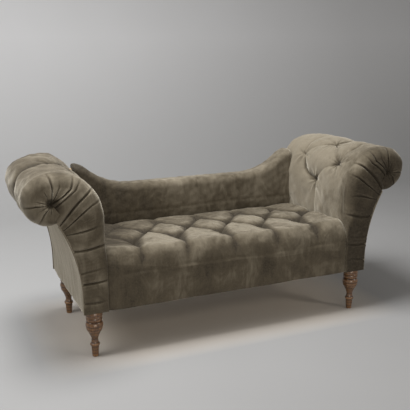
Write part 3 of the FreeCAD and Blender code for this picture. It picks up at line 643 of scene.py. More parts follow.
def seat_surface(x, v):
    """The place and depth of each seat point: x along the seat, v along the outline from the back."""
    profile_y, profile_z, lengths = seat_profile()
    y = np.interp(v, lengths, profile_y)
    z = np.interp(v, lengths, profile_z)
    step = 0.004
    dy = np.interp(v + step, lengths, profile_y) - np.interp(v - step, lengths, profile_y)
    dz = np.interp(v + step, lengths, profile_z) - np.interp(v - step, lengths, profile_z)
    size = np.hypot(dy, dz)
    depth = seat_depth(x, v, z)
    return np.stack([x, y - dz / size * depth, z + dy / size * depth], -1), depth


def along_seat(y):
    """How far along the seat's outline a Y on its top lies."""
    return SEAT_BACK + SEAT_TUCK - y


def seat_depth(x, v, z):
    """How far the seat's cover lies inside its plain outline: folds, tufts, pleats and drawn-in ends."""
    v_round = along_seat(SEAT_FRONT + FRONT_ROUND)
    v_edge = v_round + EDGE_LENGTH
    buttons = [(c[0], along_seat(c[1]), np.interp(along_seat(c[1]), [0, v_round], [SEAT_BACK_TOP, SEAT_TOP])
                - BUTTON_LEVEL) for c in SEAT_BUTTONS]
    rows = sorted({round(b[1], 3) for b in buttons})
    same_row = 0.05
    depth = np.zeros(x.shape)
    reach = 1.15 * math.hypot(rows[1] - rows[0], ROW_OFFSET)
    for i, one in enumerate(buttons):
        for two in buttons[i + 1:]:
            if math.hypot(one[0] - two[0], one[1] - two[1]) > reach or abs(one[1] - two[1]) < same_row:
                continue
            low, high = (two, one) if two[1] > one[1] else (one, two)
            middle = 0.42 * min(high[2], low[2]) + 0.004
            path = bowed(high[:2], low[:2], 0.006 if low[0] > high[0] else -0.006)
            depth = np.maximum(depth, fold(x, v, path, (high[2], middle, low[2]), 0.082, 0.12, 0.7))
    for at, along, deep in buttons:
        depth = np.maximum(depth, dimple(x, v, (at, along), deep + 0.004, 0.034))
        if abs(along - rows[-1]) < same_row:
            swing = 0.012 * math.copysign(1, at) if at else 0.006
            path = [(at, along), (at + swing * 0.3, along + 0.07), (at + swing, v_edge - 0.02),
                    (at + swing, v_edge + 0.02)]
            depth = np.maximum(depth, fold(x, v, path, (deep, 0.026, 0.0), 0.104, 0.2, 0.7))
        if abs(along - rows[0]) < same_row:
            path = [(at, along), (at, 0.0)]
            depth = np.maximum(depth, fold(x, v, path, (deep, 0.010, 0.004), 0.090, 0.1))
        if abs(at) > 0.45:
            path = [(at, along), (math.copysign(HALF_SEAT + 0.01, at), along + 0.004)]
            depth = np.maximum(depth, fold(x, v, path, (deep, 0.5 * deep, 0.010), 0.060, 0.1))
    for k, button in enumerate(buttons):
        depth = depth - gathers(x, v, button[:2], 0.0022, 0.016, 100 + k)
    on_top = smooth((v_edge - v) / 0.10)
    end = np.clip(1 - (HALF_SEAT - np.abs(x)) / 0.030, 0, 1)
    back = np.clip(1 - (v - SEAT_TUCK) / 0.035, 0, 1)
    below = smooth((v - v_edge) / 0.05)
    crease = np.exp(-((v - v_edge - 0.012 - 0.004 * np.sin(x * 9)) / 0.007) ** 2)
    hem = np.clip(1 - (z - BOTTOM) / 0.014, 0, 1)
    depth = depth + (SEAT_END_DROP * on_top + 0.004) * end ** 2 + 0.014 * back ** 2
    depth = depth - on_top * (0.0016 * ripple(x, v, 0.11, 11) + 0.0008 * ripple(x, v, 0.05, 12))
    return depth - 0.0012 * below * ripple(x, v * 0.4, 0.20, 13) + 0.0022 * crease - 0.0008 * hem


def seat_painted_light(x, y, z, depth):
    """Painted light and shade on the seat: the front darker below a line that falls from the left to the
    right, partly pile laid another way and partly painted shade; painted shade in the sunk folds, on the
    front's rounding, towards the back and at the left end; painted light and shade along the creases round
    the buttons.
    """
    line_z = np.interp(x, [-HALF_SEAT, -0.300, HALF_SEAT], [0.407, 0.357, 0.323])
    line_z = line_z + 0.004 * ripple(x, z, 0.25, 17)
    round_y = SEAT_FRONT + FRONT_ROUND
    below = smooth((line_z - z) / 0.006 + 0.5) * smooth((SEAT_FRONT + 0.05 - y) / 0.03)
    # Painted shade in the sunk folds, and on the front's rounding where it turns down
    sunk = smooth((depth - 0.004) / 0.022) * (1 - below)
    turned = smooth((SEAT_TOP - 0.010 - z) / 0.05) * smooth((round_y - y) / 0.03)
    # Painted light and shade along the small creases round the buttons
    creases = sum(gathers(x, along_seat(y), (c[0], along_seat(c[1])), 1.0, 0.016, 100 + k)
                  for k, c in enumerate(SEAT_BUTTONS))
    # Painted shade towards the back and at the left end, beside the left arm
    shaded = 1.2 * smooth((y + 0.10) / 0.26) + 2.0 * smooth((-0.26 - x) / 0.26)
    nap_and_painted_light = 1.15 - 1.45 * np.maximum(below, 0.7 * turned) - 3.0 * sunk
    return nap_and_painted_light - shaded * smooth((y - round_y) / 0.06) + 0.4 * creases * smooth((y - round_y) / 0.03)


def seat_grid(step):
    """Even steps along the seat and along its outline."""
    width = HALF_SEAT - SIDE_GAP
    length = seat_profile()[2][-1]
    across = np.linspace(-width, width, int(2 * width / step) + 1)
    down = np.linspace(0, length, int(length / step) + 1)
    return np.meshgrid(across, down, indexing="ij")


def make_seat():
    """The tufted seat and its plain front."""
    profile_y, profile_z, lengths = seat_profile()
    x, v = seat_grid(GRID)
    outer, depth = seat_surface(x, v)
    coarse_x, coarse_v = seat_grid(SIM_GRID)
    coarse, sewn = seat_surface(coarse_x, coarse_v)
    held = smooth((coarse_v - (lengths[-1] - 0.20)) / 0.03)
    held[:3] = held[-3:] = 1
    held[:, :3] = 1
    buttons = [np.hypot(coarse_x - c[0], coarse_v - along_seat(c[1])) for c in SEAT_BUTTONS]
    outer = outer + swell(coarse, held, buttons, sewn, 0.016, x.shape)
    inner = outer.copy()
    base_z = np.interp(v, lengths, profile_z)
    inner[..., 1] = np.maximum(np.interp(v, lengths, profile_y), SEAT_FRONT + 0.012)
    inner[..., 2] = np.where(base_z > border_high.z + 0.004, border_high.z + 0.001,
                             np.maximum(base_z, BOTTOM + 0.003))
    seat = closed_pad("tufted_seat", outer, inner)
    lay_painted_light(seat, seat_painted_light(x, outer[..., 1], outer[..., 2], depth))
    piece(seat, ("seat_cover", "seat_front_border"))


# Covered buttons
BUTTON_RADIUS = 0.0112
BUTTON_HEIGHT = 0.0085
BUTTON_SIDES = 24
BUTTON_PROFILE = [(0.25, 0.985), (0.5, 0.92), (0.72, 0.79), (0.88, 0.60), (0.97, 0.38), (1.0, 0.18),
                  (0.97, 0.02), (0.85, -0.10)]


def button_mesh(centre, out, seed):
    """A cloth-covered button: a shallow dome drawn in at its rim, with the pull of the cloth."""
    out = np.asarray(out, float) / np.linalg.norm(out)
    side = np.cross(out, (0.3, 0.8, 0.52))
    side /= np.linalg.norm(side)
    phase = np.random.default_rng(seed).uniform(0, 6.3, 2)
    turn = np.arange(BUTTON_SIDES)[:, None] * 2 * math.pi / BUTTON_SIDES
    around = np.cos(turn) * side + np.sin(turn) * np.cross(out, side)
    places = [[centre + out * BUTTON_HEIGHT]]
    for share, level in BUTTON_PROFILE:
        crimp = 1 + 0.025 * share * np.sin(9 * turn + phase[0]) + 0.012 * np.sin(3 * turn + phase[1])
        places.append(centre + out * BUTTON_HEIGHT * level + BUTTON_RADIUS * share * crimp * around)
    places.append([centre - out * BUTTON_HEIGHT * 0.10])
    rings = len(BUTTON_PROFILE)
    last = 1 + rings * BUTTON_SIDES
    first_ring, last_ring = np.arange(BUTTON_SIDES) + 1, np.arange(last - BUTTON_SIDES, last)
    faces = [[0, a, b] for a, b in zip(first_ring, np.roll(first_ring, -1))]
    faces += ring_faces(rings, BUTTON_SIDES, 1)[:, ::-1].tolist()
    faces += [[b, a, last] for a, b in zip(last_ring, np.roll(last_ring, -1))]
    return np.concatenate(places), [[int(i) for i in face] for face in faces]


def make_buttons(name, node, directions):
    """All the covered buttons of a node, each at its place and facing its way."""
    places, faces = [], []
    for k, (centre, out) in enumerate(directions):
        more, more_faces = button_mesh(centre, out, 40 + k)
        faces += [[len(places) + i for i in face] for face in more_faces]
        places += list(more)
    piece(new_object(name, places, faces, velvet), (node,))


# Arms
ROLL_REACH = ROLL_X - HALF_SEAT
ROLL_RISE = ROLL_Z - CURVE_LEVEL
CURVE_RADIUS = (ROLL_REACH ** 2 + ROLL_RISE ** 2 - ROLL_RADIUS ** 2) / (2 * (ROLL_REACH - ROLL_RADIUS))
CURVE_X = HALF_SEAT + CURVE_RADIUS
TANGENT = math.atan2(ROLL_RISE, ROLL_X - CURVE_X)
STRAIGHT = CURVE_LEVEL - BOTTOM
CURVE_LENGTH = (math.pi - TANGENT) * CURVE_RADIUS
OUTER_X = ARM_OUTER + OUTER_RADIUS


def roll_junction():
    """The angle about the roll's centre where its underside meets the outside arm."""
    away_x, away_z = OUTER_X - ROLL_X, OUTER_LEVEL - ROLL_Z
    distance = math.hypot(away_x, away_z)
    along = (ROLL_RADIUS ** 2 - OUTER_RADIUS ** 2 + distance ** 2) / (2 * distance)
    across = math.sqrt(ROLL_RADIUS ** 2 - along ** 2)
    x = (along * away_x + across * away_z) / distance
    z = (along * away_z - across * away_x) / distance
    return math.atan2(z, x)


JUNCTION = roll_junction()
ROLL_LENGTH = (TANGENT - JUNCTION) * ROLL_RADIUS
CONTOUR = STRAIGHT + CURVE_LENGTH + ROLL_LENGTH
JOIN = np.array([ROLL_X + ROLL_RADIUS * math.cos(JUNCTION), ROLL_Z + ROLL_RADIUS * math.sin(JUNCTION)])


def contour(t):
    """Points on the arm's outline, from its foot up the inside and round the roll, and the way out."""
    bend = math.pi - (t - STRAIGHT) / CURVE_RADIUS
    turn = TANGENT - (t - STRAIGHT - CURVE_LENGTH) / ROLL_RADIUS
    straight = t <= STRAIGHT
    curve = t <= STRAIGHT + CURVE_LENGTH
    nx = np.where(straight, -1.0, np.where(curve, np.cos(bend), np.cos(turn)))
    nz = np.where(straight, 0.0, np.where(curve, np.sin(bend), np.sin(turn)))
    curve_x, curve_z = CURVE_X + CURVE_RADIUS * nx, CURVE_LEVEL + CURVE_RADIUS * nz
    x = np.where(straight, HALF_SEAT, np.where(curve, curve_x, ROLL_X + ROLL_RADIUS * nx))
    z = np.where(straight, BOTTOM + t, np.where(curve, curve_z, ROLL_Z + ROLL_RADIUS * nz))
    return x, z, nx, nz


def contour_of(x, z):
    """The distance along the outline that is nearest to a point."""
    t = np.linspace(0, CONTOUR, 2000)
    cx, cz, _, _ = contour(t)
    return float(t[np.argmin(np.hypot(cx - x, cz - z))])


def arm_buttons(side):
    """Each arm button as the frame has it: its centre, its distance along the outline and its Y."""
    found = [(c, contour_of(abs(c[0]), c[2]), c[1]) for c in islands(side + "_arm_buttons")]
    return sorted(found, key=lambda button: button[1])


def arm_depth(t, y, side):
    """How far the arm's cover lies inside its plain outline, over the inside and the roll."""
    buttons = [button[1:] for button in arm_buttons(side)]
    p, s = buttons[0], buttons[-1]
    q, r = sorted(buttons[1:-1], key=lambda button: button[1])
    deep = ARM_TUFT
    seat_t = PAD_BOTTOM + 0.10 - BOTTOM
    over = STRAIGHT + CURVE_LENGTH
    depth = np.zeros(t.shape)
    folds = [
        (bowed(r, p, -0.034), (deep, 0.030, deep), 0.085, 0.30),
        (bowed(p, q, 0.014), (deep, 0.012, deep), 0.080, 0.15),
        (bowed(q, s, -0.012), (deep, 0.011, deep), 0.080, 0.10),
        (bowed(s, r, -0.014), (deep, 0.012, deep), 0.080, 0.10),
        ([p, (p[0] - 0.05, p[1] - 0.006), (seat_t + 0.03, p[1] - 0.012), (seat_t - 0.05, p[1] - 0.016)],
         (deep, 0.008, 0.004), 0.060, 0.15),
        ([s, (s[0] + 0.06, s[1] - 0.012), (over + 0.05, s[1] - 0.030), (over + 0.15, s[1] - 0.035),
          (CONTOUR + TUCK_LENGTH, s[1] - 0.030)], (deep, 0.024, 0.014), 0.110, 0.15),
        ([q, (q[0] + 0.09, q[1] - 0.016), (over - 0.01, q[1] - 0.004)],
         (deep * 0.8, 0.010, 0.0), 0.070, 0.15),
        ([r, (r[0] + 0.10, r[1] + 0.012), (over + 0.04, r[1] + 0.030)],
         (deep * 0.8, 0.006, 0.0), 0.070, 0.10),
    ]
    for path, amounts, width, lean in folds:
        depth = np.maximum(depth, fold(t, y, path, amounts, width, lean, 0.75))
    for k, button in enumerate(buttons):
        depth = np.maximum(depth, dimple(t, y, button, deep + 0.006, 0.032))
        depth = depth - gathers(t, y, button, 0.0036, 0.030, 200 + k)
    on_roll = smooth((t - over + 0.16) / 0.16)
    droop, shoulder_height = (LEFT_DROOP, 0.007) if side == "left" else (RIGHT_DROOP, 0.016)
    to_rear = np.clip((y - DROOP_START) / (REAR - DROOP_START), 0, 1)
    depth = depth + droop * (1 - np.sqrt(1 - 0.96 * to_rear ** 2)) * on_roll
    shoulder = np.exp(-((t - STRAIGHT - 0.135) / 0.075) ** 2) * smooth((y - 0.02) / 0.16)
    band = smooth((y - 0.10) / 0.08) * smooth((t - seat_t) / 0.10) * smooth((STRAIGHT + 0.12 - t) / 0.12)
    belly = np.exp(-((t - seat_t - 0.10) / 0.10) ** 2) * smooth((0.10 - np.abs(y + 0.13)) / 0.10)
    puff = np.exp(-((t - (p[0] + s[0]) / 2) / 0.06) ** 2 - ((y + 0.01) / 0.07) ** 2)
    depth = depth - shoulder_height * shoulder - 0.010 * band - 0.007 * belly - 0.006 * puff
    depth = depth + 0.008 * smooth((t - CONTOUR) / 0.012)
    seed = 21 if side == "right" else 31
    return depth - 0.0020 * ripple(t, y, 0.12, seed) - 0.0009 * ripple(t, y, 0.045, seed + 1)


# Pleats on the arm's front: the point on the outline that each runs to, its depth and how far it reaches
FRONT_PLEATS = [
    ((0.587, 0.254), 0.0030, 0.62), ((0.587, 0.343), 0.0042, 0.75), ((0.587, 0.383), 0.0022, 0.55),
    ((0.587, 0.488), 0.0048, 0.85), ((0.587, 0.572), 0.0046, 0.70), ((0.604, 0.672), 0.0052, 0.80),
    ((0.632, 0.722), 0.0062, 0.92), ((0.668, 0.756), 0.0050, 0.80), ((0.705, 0.778), 0.0062, 0.85),
    ((0.750, 0.789), 0.0038, 0.70), ((0.796, 0.787), 0.0060, 0.90), ((0.845, 0.776), 0.0028, 0.55),
    ((0.897, 0.700), 0.0034, 0.60), ((0.897, 0.662), 0.0052, 0.85), ((0.880, 0.612), 0.0034, 0.60),
    ((0.842, 0.592), 0.0056, 0.85), ((0.800, 0.583), 0.0036, 0.60),
]


def outer_edge(z):
    """The X of the outside arm's face at a height."""
    z = np.asarray(z, float)
    rise = np.maximum(z, OUTER_LEVEL) - OUTER_LEVEL
    return np.where(z > OUTER_LEVEL, OUTER_X - np.sqrt(OUTER_RADIUS ** 2 - rise ** 2), ARM_OUTER)


def spine(t):
    """Where the front's cover is gathered in: up the outer edge, then in to the centre of the roll."""
    inner_t = [0, contour_of(0.587, 0.562), contour_of(0.604, 0.683), contour_of(0.636, 0.722),
               contour_of(0.660, 0.750), contour_of(0.700, 0.778), CONTOUR]
    outer_z = [BOTTOM, 0.543, 0.566, JOIN[1], 0.640, GATHER[1], GATHER[1]]
    z = np.interp(t, inner_t, outer_z)
    below = np.minimum(z, JOIN[1])
    edge = outer_edge(below)
    share = np.clip((z - JOIN[1]) / (GATHER[1] - JOIN[1]), 0, 1)
    sway = JOIN[0] + (GATHER[0] - JOIN[0]) * share + 0.004 * np.sin(math.pi * share)
    return np.where(z <= JOIN[1], edge, sway), z


def front_pleats(t, reach_in, side):
    """Height of the front's pleats: reach_in is 0 at the gathered edge and 1 at the outline."""
    rng = np.random.default_rng(5 if side == "right" else 6)
    height = np.zeros(np.broadcast(t, reach_in).shape)
    for (x, z), tall, reach in FRONT_PLEATS:
        at = contour_of(x, z) + rng.uniform(-0.006, 0.006)
        bend = 0.012 * rng.uniform(-1, 1)
        away = t - at - bend * np.sin(math.pi * np.clip(reach_in, 0, 1))
        fade = smooth((reach + 0.22 - reach_in) / 0.40)
        above = np.exp(-np.clip(away, 0, None) / 0.016)
        below = np.exp(-np.clip(-away, 0, None) / 0.022)
        trough = np.exp(-(away / 0.0044) ** 2)
        height += 1.1 * tall * fade * (1.3 * np.where(away > 0, above, below) - 2.6 * trough)
    fine = 0.0004 * ripple(t, reach_in * 0.03, 0.012, 64) * smooth((0.95 - reach_in) / 0.5)
    return height + fine


def front_round(t):
    """The front edge's rounding: slight beside the seat, and full and soft above it."""
    return smooth((t - 0.19) / 0.14)


def arm_front(t, side):
    """The rounded front edge and the pleated front, as more columns of the arm's grid."""
    x, z, nx, nz = (value[:, None] for value in contour(t))
    spine_x, spine_z = (value[:, None] for value in spine(t))
    t = t[:, None]
    full = front_round(t)
    round_inset = FOOT_ROUND + (FRONT_ROUND_INSET - FOOT_ROUND) * full
    round_inset = round_inset + ROLL_END_EXTRA * smooth((t - STRAIGHT - 0.10) / 0.15)
    round_depth = FOOT_ROUND + (FRONT_ROUND_DEPTH - FOOT_ROUND) * full
    turn = np.linspace(0, QUARTER, ROUND_COLUMNS + 1)[1:]
    y = FRONT + round_depth * (1 - np.sin(turn))
    out = front_pleats(t, 1.0 - 0.12 * turn, side) * np.sin(turn)
    out = out + 0.002 * ripple(t, y, 0.12, 61) * np.cos(turn) * full
    sideways = round_inset * (1 - np.cos(turn)) - out * np.cos(turn)
    rounded = np.stack([x - nx * sideways, y - out * np.sin(turn), z - nz * sideways], -1)
    share = np.linspace(0, 1, FACE_COLUMNS + 1)[1:]
    px = (x - nx * round_inset) * (1 - share) + spine_x * share
    pz = (z - nz * round_inset) * (1 - share) + spine_z * share
    at_centre = smooth((spine_z - JOIN[1] + 0.002) / 0.05)
    puff = 0.004 * np.sin(math.pi * share) * full
    sink = 0.008 * share ** 8 * (1 - at_centre) * full + 0.015 * share ** 3 * at_centre
    sink = sink + 0.016 * smooth((t - (CONTOUR - 0.07)) / 0.09) * share ** 2
    lift = front_pleats(t, (1 - share) * 0.81, side) * (1 - 0.5 * share ** 6 * at_centre)
    y = np.clip(FRONT - puff + sink - lift, FRONT - 0.018, FRONT + FRONT_COVER)
    return np.concatenate([rounded, np.stack([px, y, pz], -1)], 1)


def arm_front_inside(t):
    """The hidden side of the same columns."""
    x, z, nx, nz = (value[:, None] for value in contour(t))
    spine_x, spine_z = (value[:, None] for value in spine(t))
    share = np.concatenate([np.zeros(ROUND_COLUMNS), 0.97 * np.linspace(0, 1, FACE_COLUMNS + 1)[1:]])
    px = (x - nx * FRONT_ROUND_INSET) * (1 - share) + spine_x * share
    pz = (z - nz * FRONT_ROUND_INSET) * (1 - share) + spine_z * share
    return np.stack([px, np.full(px.shape, FRONT + FRONT_ROUND_DEPTH), pz], -1)


def board_room(side):
    """How far the cover may sink along the outline before it meets the back scroll board."""
    mesh = frame["nodes"][side + "_arm_back_scroll_board"].data
    ends = np.array([[mesh.vertices[i].co for i in edge.vertices] for edge in mesh.edges])
    share = np.linspace(0, 1, 9)[:, None, None]
    board = (ends[:, 0] * (1 - share) + ends[:, 1] * share).reshape(-1, 3)
    board_x, board_z = np.abs(board[:, 0]), board[:, 2]
    t = np.linspace(0, CONTOUR + TUCK_LENGTH, 240)
    x, z, nx, nz = contour(t)
    nearest = np.argmin(np.hypot(x[:, None] - board_x, z[:, None] - board_z), 0)
    deep = (x[nearest] - board_x) * nx[nearest] + (z[nearest] - board_z) * nz[nearest]
    near = [deep[np.abs(t[nearest] - here) < 0.016] for here in t]
    return t, np.array([found.min() if len(found) else 0.03 for found in near])


def arm_inset(t, y, depth, side):
    """The cover's depth near the rear: inside the board's room, and flat beside the back."""
    at_rear = smooth((y - REAR + 0.050) / 0.012)
    beside_back = at_rear * smooth((STRAIGHT + 0.05 - t) / 0.05)
    depth = (depth + rear_turn(y)) * (1 - beside_back) + 0.0004 * beside_back
    limit = np.maximum(np.interp(t, *board_room(side)) - 0.003, 0.001) / np.maximum(at_rear, 0.05)
    return np.where(at_rear > 0, np.minimum(depth, limit), depth)


def arm_grid(step, side):
    """The padded part of the arm: along the outline, and from the rear to the front's rounding."""
    end = CONTOUR + TUCK_LENGTH
    t_values = np.linspace(0, end, int(end / step) + 1)
    shares = np.linspace(0, 1, int((REAR - FRONT) / step) + 1)
    t, share = np.meshgrid(t_values, shares, indexing="ij")
    rear_y = REAR - REAR_SEAM
    front_y = FRONT + FOOT_ROUND + (FRONT_ROUND_DEPTH - FOOT_ROUND) * front_round(t)
    y = rear_y + (front_y - rear_y) * share
    x, z, nx, nz = contour(t)
    depth = arm_inset(t, y, arm_depth(t, y, side) * smooth((y - front_y) / 0.05), side)
    return t, y, np.stack([x - nx * depth, y, z - nz * depth], -1), depth


def rear_turn(y):
    """How far the cover turns in at the rear edge."""
    rear = np.clip(1 - (REAR - y) / (REAR_ROUND * 2), 0, 1)
    return REAR_ROUND * (1 - np.sqrt(1 - rear ** 2)) * 0.8


def arm_painted_light(t, y, depth, columns, side):
    """Painted light and shade on the arm's cover: painted light over the right arm's inside, painted shade
    in the folds, round to the front and in the gathered hollow at the front's centre, and painted light and
    shade along the creases and the front's pleats.
    """
    # Painted light over the inside, and painted shade round to the front
    inside, front_painted_shade = (2.1, 4.6) if side == "right" else (-0.1, -0.2)
    folds = smooth((depth - 0.004) / 0.024) * smooth((REAR - 0.03 - y) / 0.02)
    creases = sum(gathers(t, y, b[1:], 1.0, 0.030, 200 + k) for k, b in enumerate(arm_buttons(side)))
    forward = 0.45 * smooth((FRONT + 0.30 - y) / 0.22) + 0.55 * smooth((FRONT + 0.11 - y) / 0.09)
    padded = inside + 0.8 * creases - 3.4 * folds - 0.55 * front_painted_shade * forward
    column = t[:, :1]
    share = np.linspace(0, 1, columns)
    at_centre = smooth((spine(column)[1] - JOIN[1]) / 0.06) * smooth((share - 0.66) / 0.24)
    # Painted shade in the gathered hollow at the front's centre, and painted light and shade along the
    # pleats
    ahead = padded[:, -1:] - 0.45 * front_painted_shade * smooth(share / 0.45) - 3.6 * at_centre
    return np.concatenate([padded, ahead + 200 * front_pleats(column, 1 - share, side)], 1)


def make_arm(side):
    """The arm's cover, from the seat up, over the roll and round to the pleated front, and its buttons."""
    way = np.array([-1 if side == "left" else 1, 1, 1])
    t, y, pad, depth = arm_grid(ARM_GRID, side)
    buttons = arm_buttons(side)
    coarse_t, coarse_y, coarse, sewn = arm_grid(SIM_GRID, side)
    held = smooth((PAD_BOTTOM + 0.05 - BOTTOM - coarse_t) / 0.05)
    held[:2] = held[-4:] = 1
    held[:, :2] = held[:, -2:] = 1
    away = [np.hypot(coarse_t - button[1], coarse_y - button[2]) for button in buttons]
    pad = pad + swell(coarse, held, away, sewn, 0.014, t.shape, flip=True)
    front = arm_front(t[:, 0], side)
    x, z, nx, nz = contour(t)
    inset = np.maximum(ARM_WALL, depth + 0.012)
    hidden = np.stack([x - nx * inset, y, z - nz * inset], -1)
    outer = np.concatenate([pad, front], 1) * way
    inner = np.concatenate([hidden, arm_front_inside(t[:, 0])], 1) * way
    cover = closed_pad(side + "_arm_cover", outer, inner, side == "right")
    lay_painted_light(cover, arm_painted_light(t, y, depth, front.shape[1], side))
    piece(cover, (side + "_inside_arm", side + "_arm_front"))
    directions = []
    for centre, button_t, _ in buttons:
        _, _, nx, nz = contour(np.array([button_t]))
        out = np.array([nx[0], 0, nz[0]]) * way
        directions.append((centre - out * 0.006, out))
    make_buttons(side + "_arm_buttons_covered", side + "_arm_buttons", directions)


def make_outside_arm(side):
    """The outer panel, pulled over the boards from front to back, with a welt down each end."""
    way = np.array([-1 if side == "left" else 1, 1, 1])
    z_values = np.linspace(BOTTOM, JOIN[1] + 0.012, 92)
    y_values = np.linspace(FRONT + 0.003, REAR - REAR_SEAM - 0.0001, 136)
    z, y = np.meshgrid(z_values, y_values, indexing="ij")
    x = outer_edge(z)
    near_front = np.clip(1 - (y - y_values[0]) / 0.014, 0, 1)
    near_rear = np.clip(1 - (y_values[-1] - y) / 0.008, 0, 1)
    near_foot = np.clip(1 - (z - BOTTOM) / 0.010, 0, 1)
    sink = 0.002 * (near_front ** 2 + near_rear ** 2 + near_foot ** 2)
    belly = 0.003 * np.sin(math.pi * (y - y_values[0]) / (y_values[-1] - y_values[0])) ** 0.6
    seed = 71 if side == "left" else 72
    pull = 0.0014 * ripple(y, z * 0.8, 0.16, seed) + 0.0005 * ripple(y, z, 0.05, seed + 4)
    face = x + np.maximum(belly + pull - sink, -0.0022)
    inside = x - PANEL_THICKNESS + 0.0002
    panel = closed_pad(side + "_outside_panel", np.stack([face, y, z], -1) * way,
                       np.stack([inside, y, z], -1) * way, side == "right")
    # Painted light: the whole outside panel is laid lighter
    lay_painted_light(panel, np.full(x.size, 2.2))
    piece(panel, (side + "_outside_arm",))
    z_line = np.linspace(BOTTOM + 0.001, JOIN[1] - 0.002, 60)
    for name, edge_y in (("front", FRONT + 0.0025), ("rear", REAR - 0.0030)):
        path = np.stack([outer_edge(z_line) + WELT_STAND, np.full(60, edge_y), z_line], -1) * way
        welt = tube(f"{side}_outside_{name}_welt", path, WELT_RADIUS)
        # Painted light: the welts are laid lighter too
        lay_painted_light(welt, np.full(len(welt.data.vertices), 2.0))
        piece(welt, ())


def make_arm_rear(side):
    """The flat rear of the arm, sewn on round the outline where the cover turns in."""
    way = np.array([-1 if side == "left" else 1, 1, 1])
    t = np.linspace(0, CONTOUR, 300)[:, None]
    x, z, nx, nz = contour(t)
    spine_x, spine_z = spine(t)
    rear_y = np.full(t.shape, REAR - REAR_SEAM)
    inset = arm_inset(t, rear_y, arm_depth(t, rear_y, side), side) + 0.0004
    share = np.linspace(0, 1, 24)
    px = (x - nx * inset) * (1 - share) + spine_x * share
    pz = (z - nz * inset) * (1 - share) + spine_z * share
    edge = np.clip(1 - share / 0.08, 0, 1)
    y = REAR - 0.0014 - 0.003 * edge ** 2 + 0.0006 * ripple(px, pz, 0.09, 81) - 0.002 * share ** 6
    outer = np.stack([px, np.minimum(y, REAR), pz], -1) * way
    inner = outer.copy()
    inner[..., 1] = REAR - 0.0075
    piece(closed_pad(side + "_rear_panel", outer, inner, side == "left"), (side + "_arm_rear",))


# The back
def back_top_line(x):
    """The height of the back's top edge, from the frame."""
    mesh = frame["nodes"]["inside_back"].data
    places = np.zeros(len(mesh.vertices) * 3)
    mesh.vertices.foreach_get("co", places)
    places = places.reshape(-1, 3)
    rear = places[(places[:, 1] > back_high.y - 0.001) & (places[:, 2] > BOTTOM + 0.35)]
    rear = rear[np.argsort(rear[:, 0])]
    return np.interp(x, rear[:, 0], rear[:, 2])


BACK_FRONT_ROUND = 0.034
BACK_REAR_ROUND = 0.018
BACK_FOOT = 0.350


def back_rows():
    """The back's outline over its top: Y, share of the top's height and offset in Z, and the way out."""
    face_y, rear_y = back_low.y, outside_back_low.y
    flat = rear_y - face_y - BACK_FRONT_ROUND - BACK_REAR_ROUND
    rows = [(face_y, share, BACK_FOOT - (BACK_FRONT_ROUND + BACK_FOOT) * share, -1, 0)
            for share in np.linspace(0, 1, 80)]
    for turn in np.linspace(0, QUARTER, 14)[1:]:
        ahead, up = math.cos(turn), math.sin(turn)
        rows.append((face_y + BACK_FRONT_ROUND * (1 - ahead), 1, -BACK_FRONT_ROUND * (1 - up), -ahead, up))
    rows += [(face_y + BACK_FRONT_ROUND + flat * share, 1, 0, 0, 1) for share in np.linspace(0, 1, 8)[1:]]
    for turn in np.linspace(0, QUARTER, 8)[1:]:
        behind, up = math.sin(turn), math.cos(turn)
        rows.append((rear_y - BACK_REAR_ROUND * (1 - behind), 1, -BACK_REAR_ROUND * (1 - up), behind, up))
    return (np.array(row, float) for row in zip(*rows))


def make_back():
    """The inside back, its stuffed top edge, and over it to the rear."""
    x_values = np.linspace(-HALF_SEAT + SIDE_GAP, HALF_SEAT - SIDE_GAP, 300)
    top = back_top_line(x_values)
    top = np.convolve(np.pad(top, 6, mode="edge"), np.ones(13) / 13, mode="valid")
    y, share, offset, ny, nz = back_rows()
    z = top[:, None] * share + offset
    x = np.repeat(x_values[:, None], y.size, 1)
    face = smooth(-ny)
    swelling = 0.005 * np.sin(math.pi * np.clip((z - 0.42) / (top[:, None] - 0.42), 0, 1)) ** 0.8 * face
    ends = np.clip(1 - (HALF_SEAT - np.abs(x)) / 0.020, 0, 1)
    pull_line = 0.0014 * np.exp(-((z - 0.474 - 0.004 * np.sin(x * 7)) / 0.009) ** 2) * face
    lift = swelling - 0.004 * ends ** 2 - pull_line
    lift = lift + 0.0016 * ripple(x, z, 0.16, 91) * face + 0.0007 * ripple(x, z + y, 0.05, 92)
    outer = np.stack([x, y + ny * lift, z + nz * lift], -1)
    inner = outer.copy()
    inner[..., 1] = np.clip(y, back_low.y + 0.020, outside_back_low.y - 0.004)
    inner[..., 2] = np.minimum(z, (top - 0.026)[:, None])
    back = closed_pad("padded_back", outer, inner)
    # Painted shade: the back darker towards its left end, in the left arm's shade, and lighter to the right
    lay_painted_light(back, np.interp(x, [-HALF_SEAT, -0.35, -0.10, HALF_SEAT], [-1.5, -0.7, 0.5, 0.7]))
    piece(back, ("inside_back", "back_top_roll"))
    make_outside_back(x_values, top)


def make_outside_back(x_values, top):
    """The plain panel behind, with a welt along its top."""
    upper = top - (top.max() - outside_back_high.z) - 0.001
    share = np.linspace(0, 1, 90)
    z = BOTTOM + (upper - BOTTOM)[:, None] * share
    x = np.repeat(x_values[:, None], share.size, 1)
    beside = np.clip(1 - (HALF_SEAT - np.abs(x)) / 0.012, 0, 1)
    under_top = np.clip(1 - (1 - share) * 0.45 / 0.012, 0, 1)
    above_foot = np.clip(1 - (z - BOTTOM) / 0.010, 0, 1)
    edge = np.maximum(np.maximum(beside, under_top), above_foot)
    y = outside_back_high.y - 0.0012 - 0.0035 * edge ** 2 + 0.0007 * ripple(x, z * 0.5, 0.14, 95)
    outer = np.stack([x, np.minimum(y, REAR), z], -1)
    inner = outer.copy()
    inner[..., 1] = outside_back_low.y + 0.0003
    piece(closed_pad("outside_back_panel", outer, inner, True), ("outside_back",))
    path = np.stack([x_values, np.full(x_values.shape, outside_back_high.y - 0.0040), upper + 0.001], -1)
    piece(tube("outside_back_welt", path, WELT_RADIUS), ())


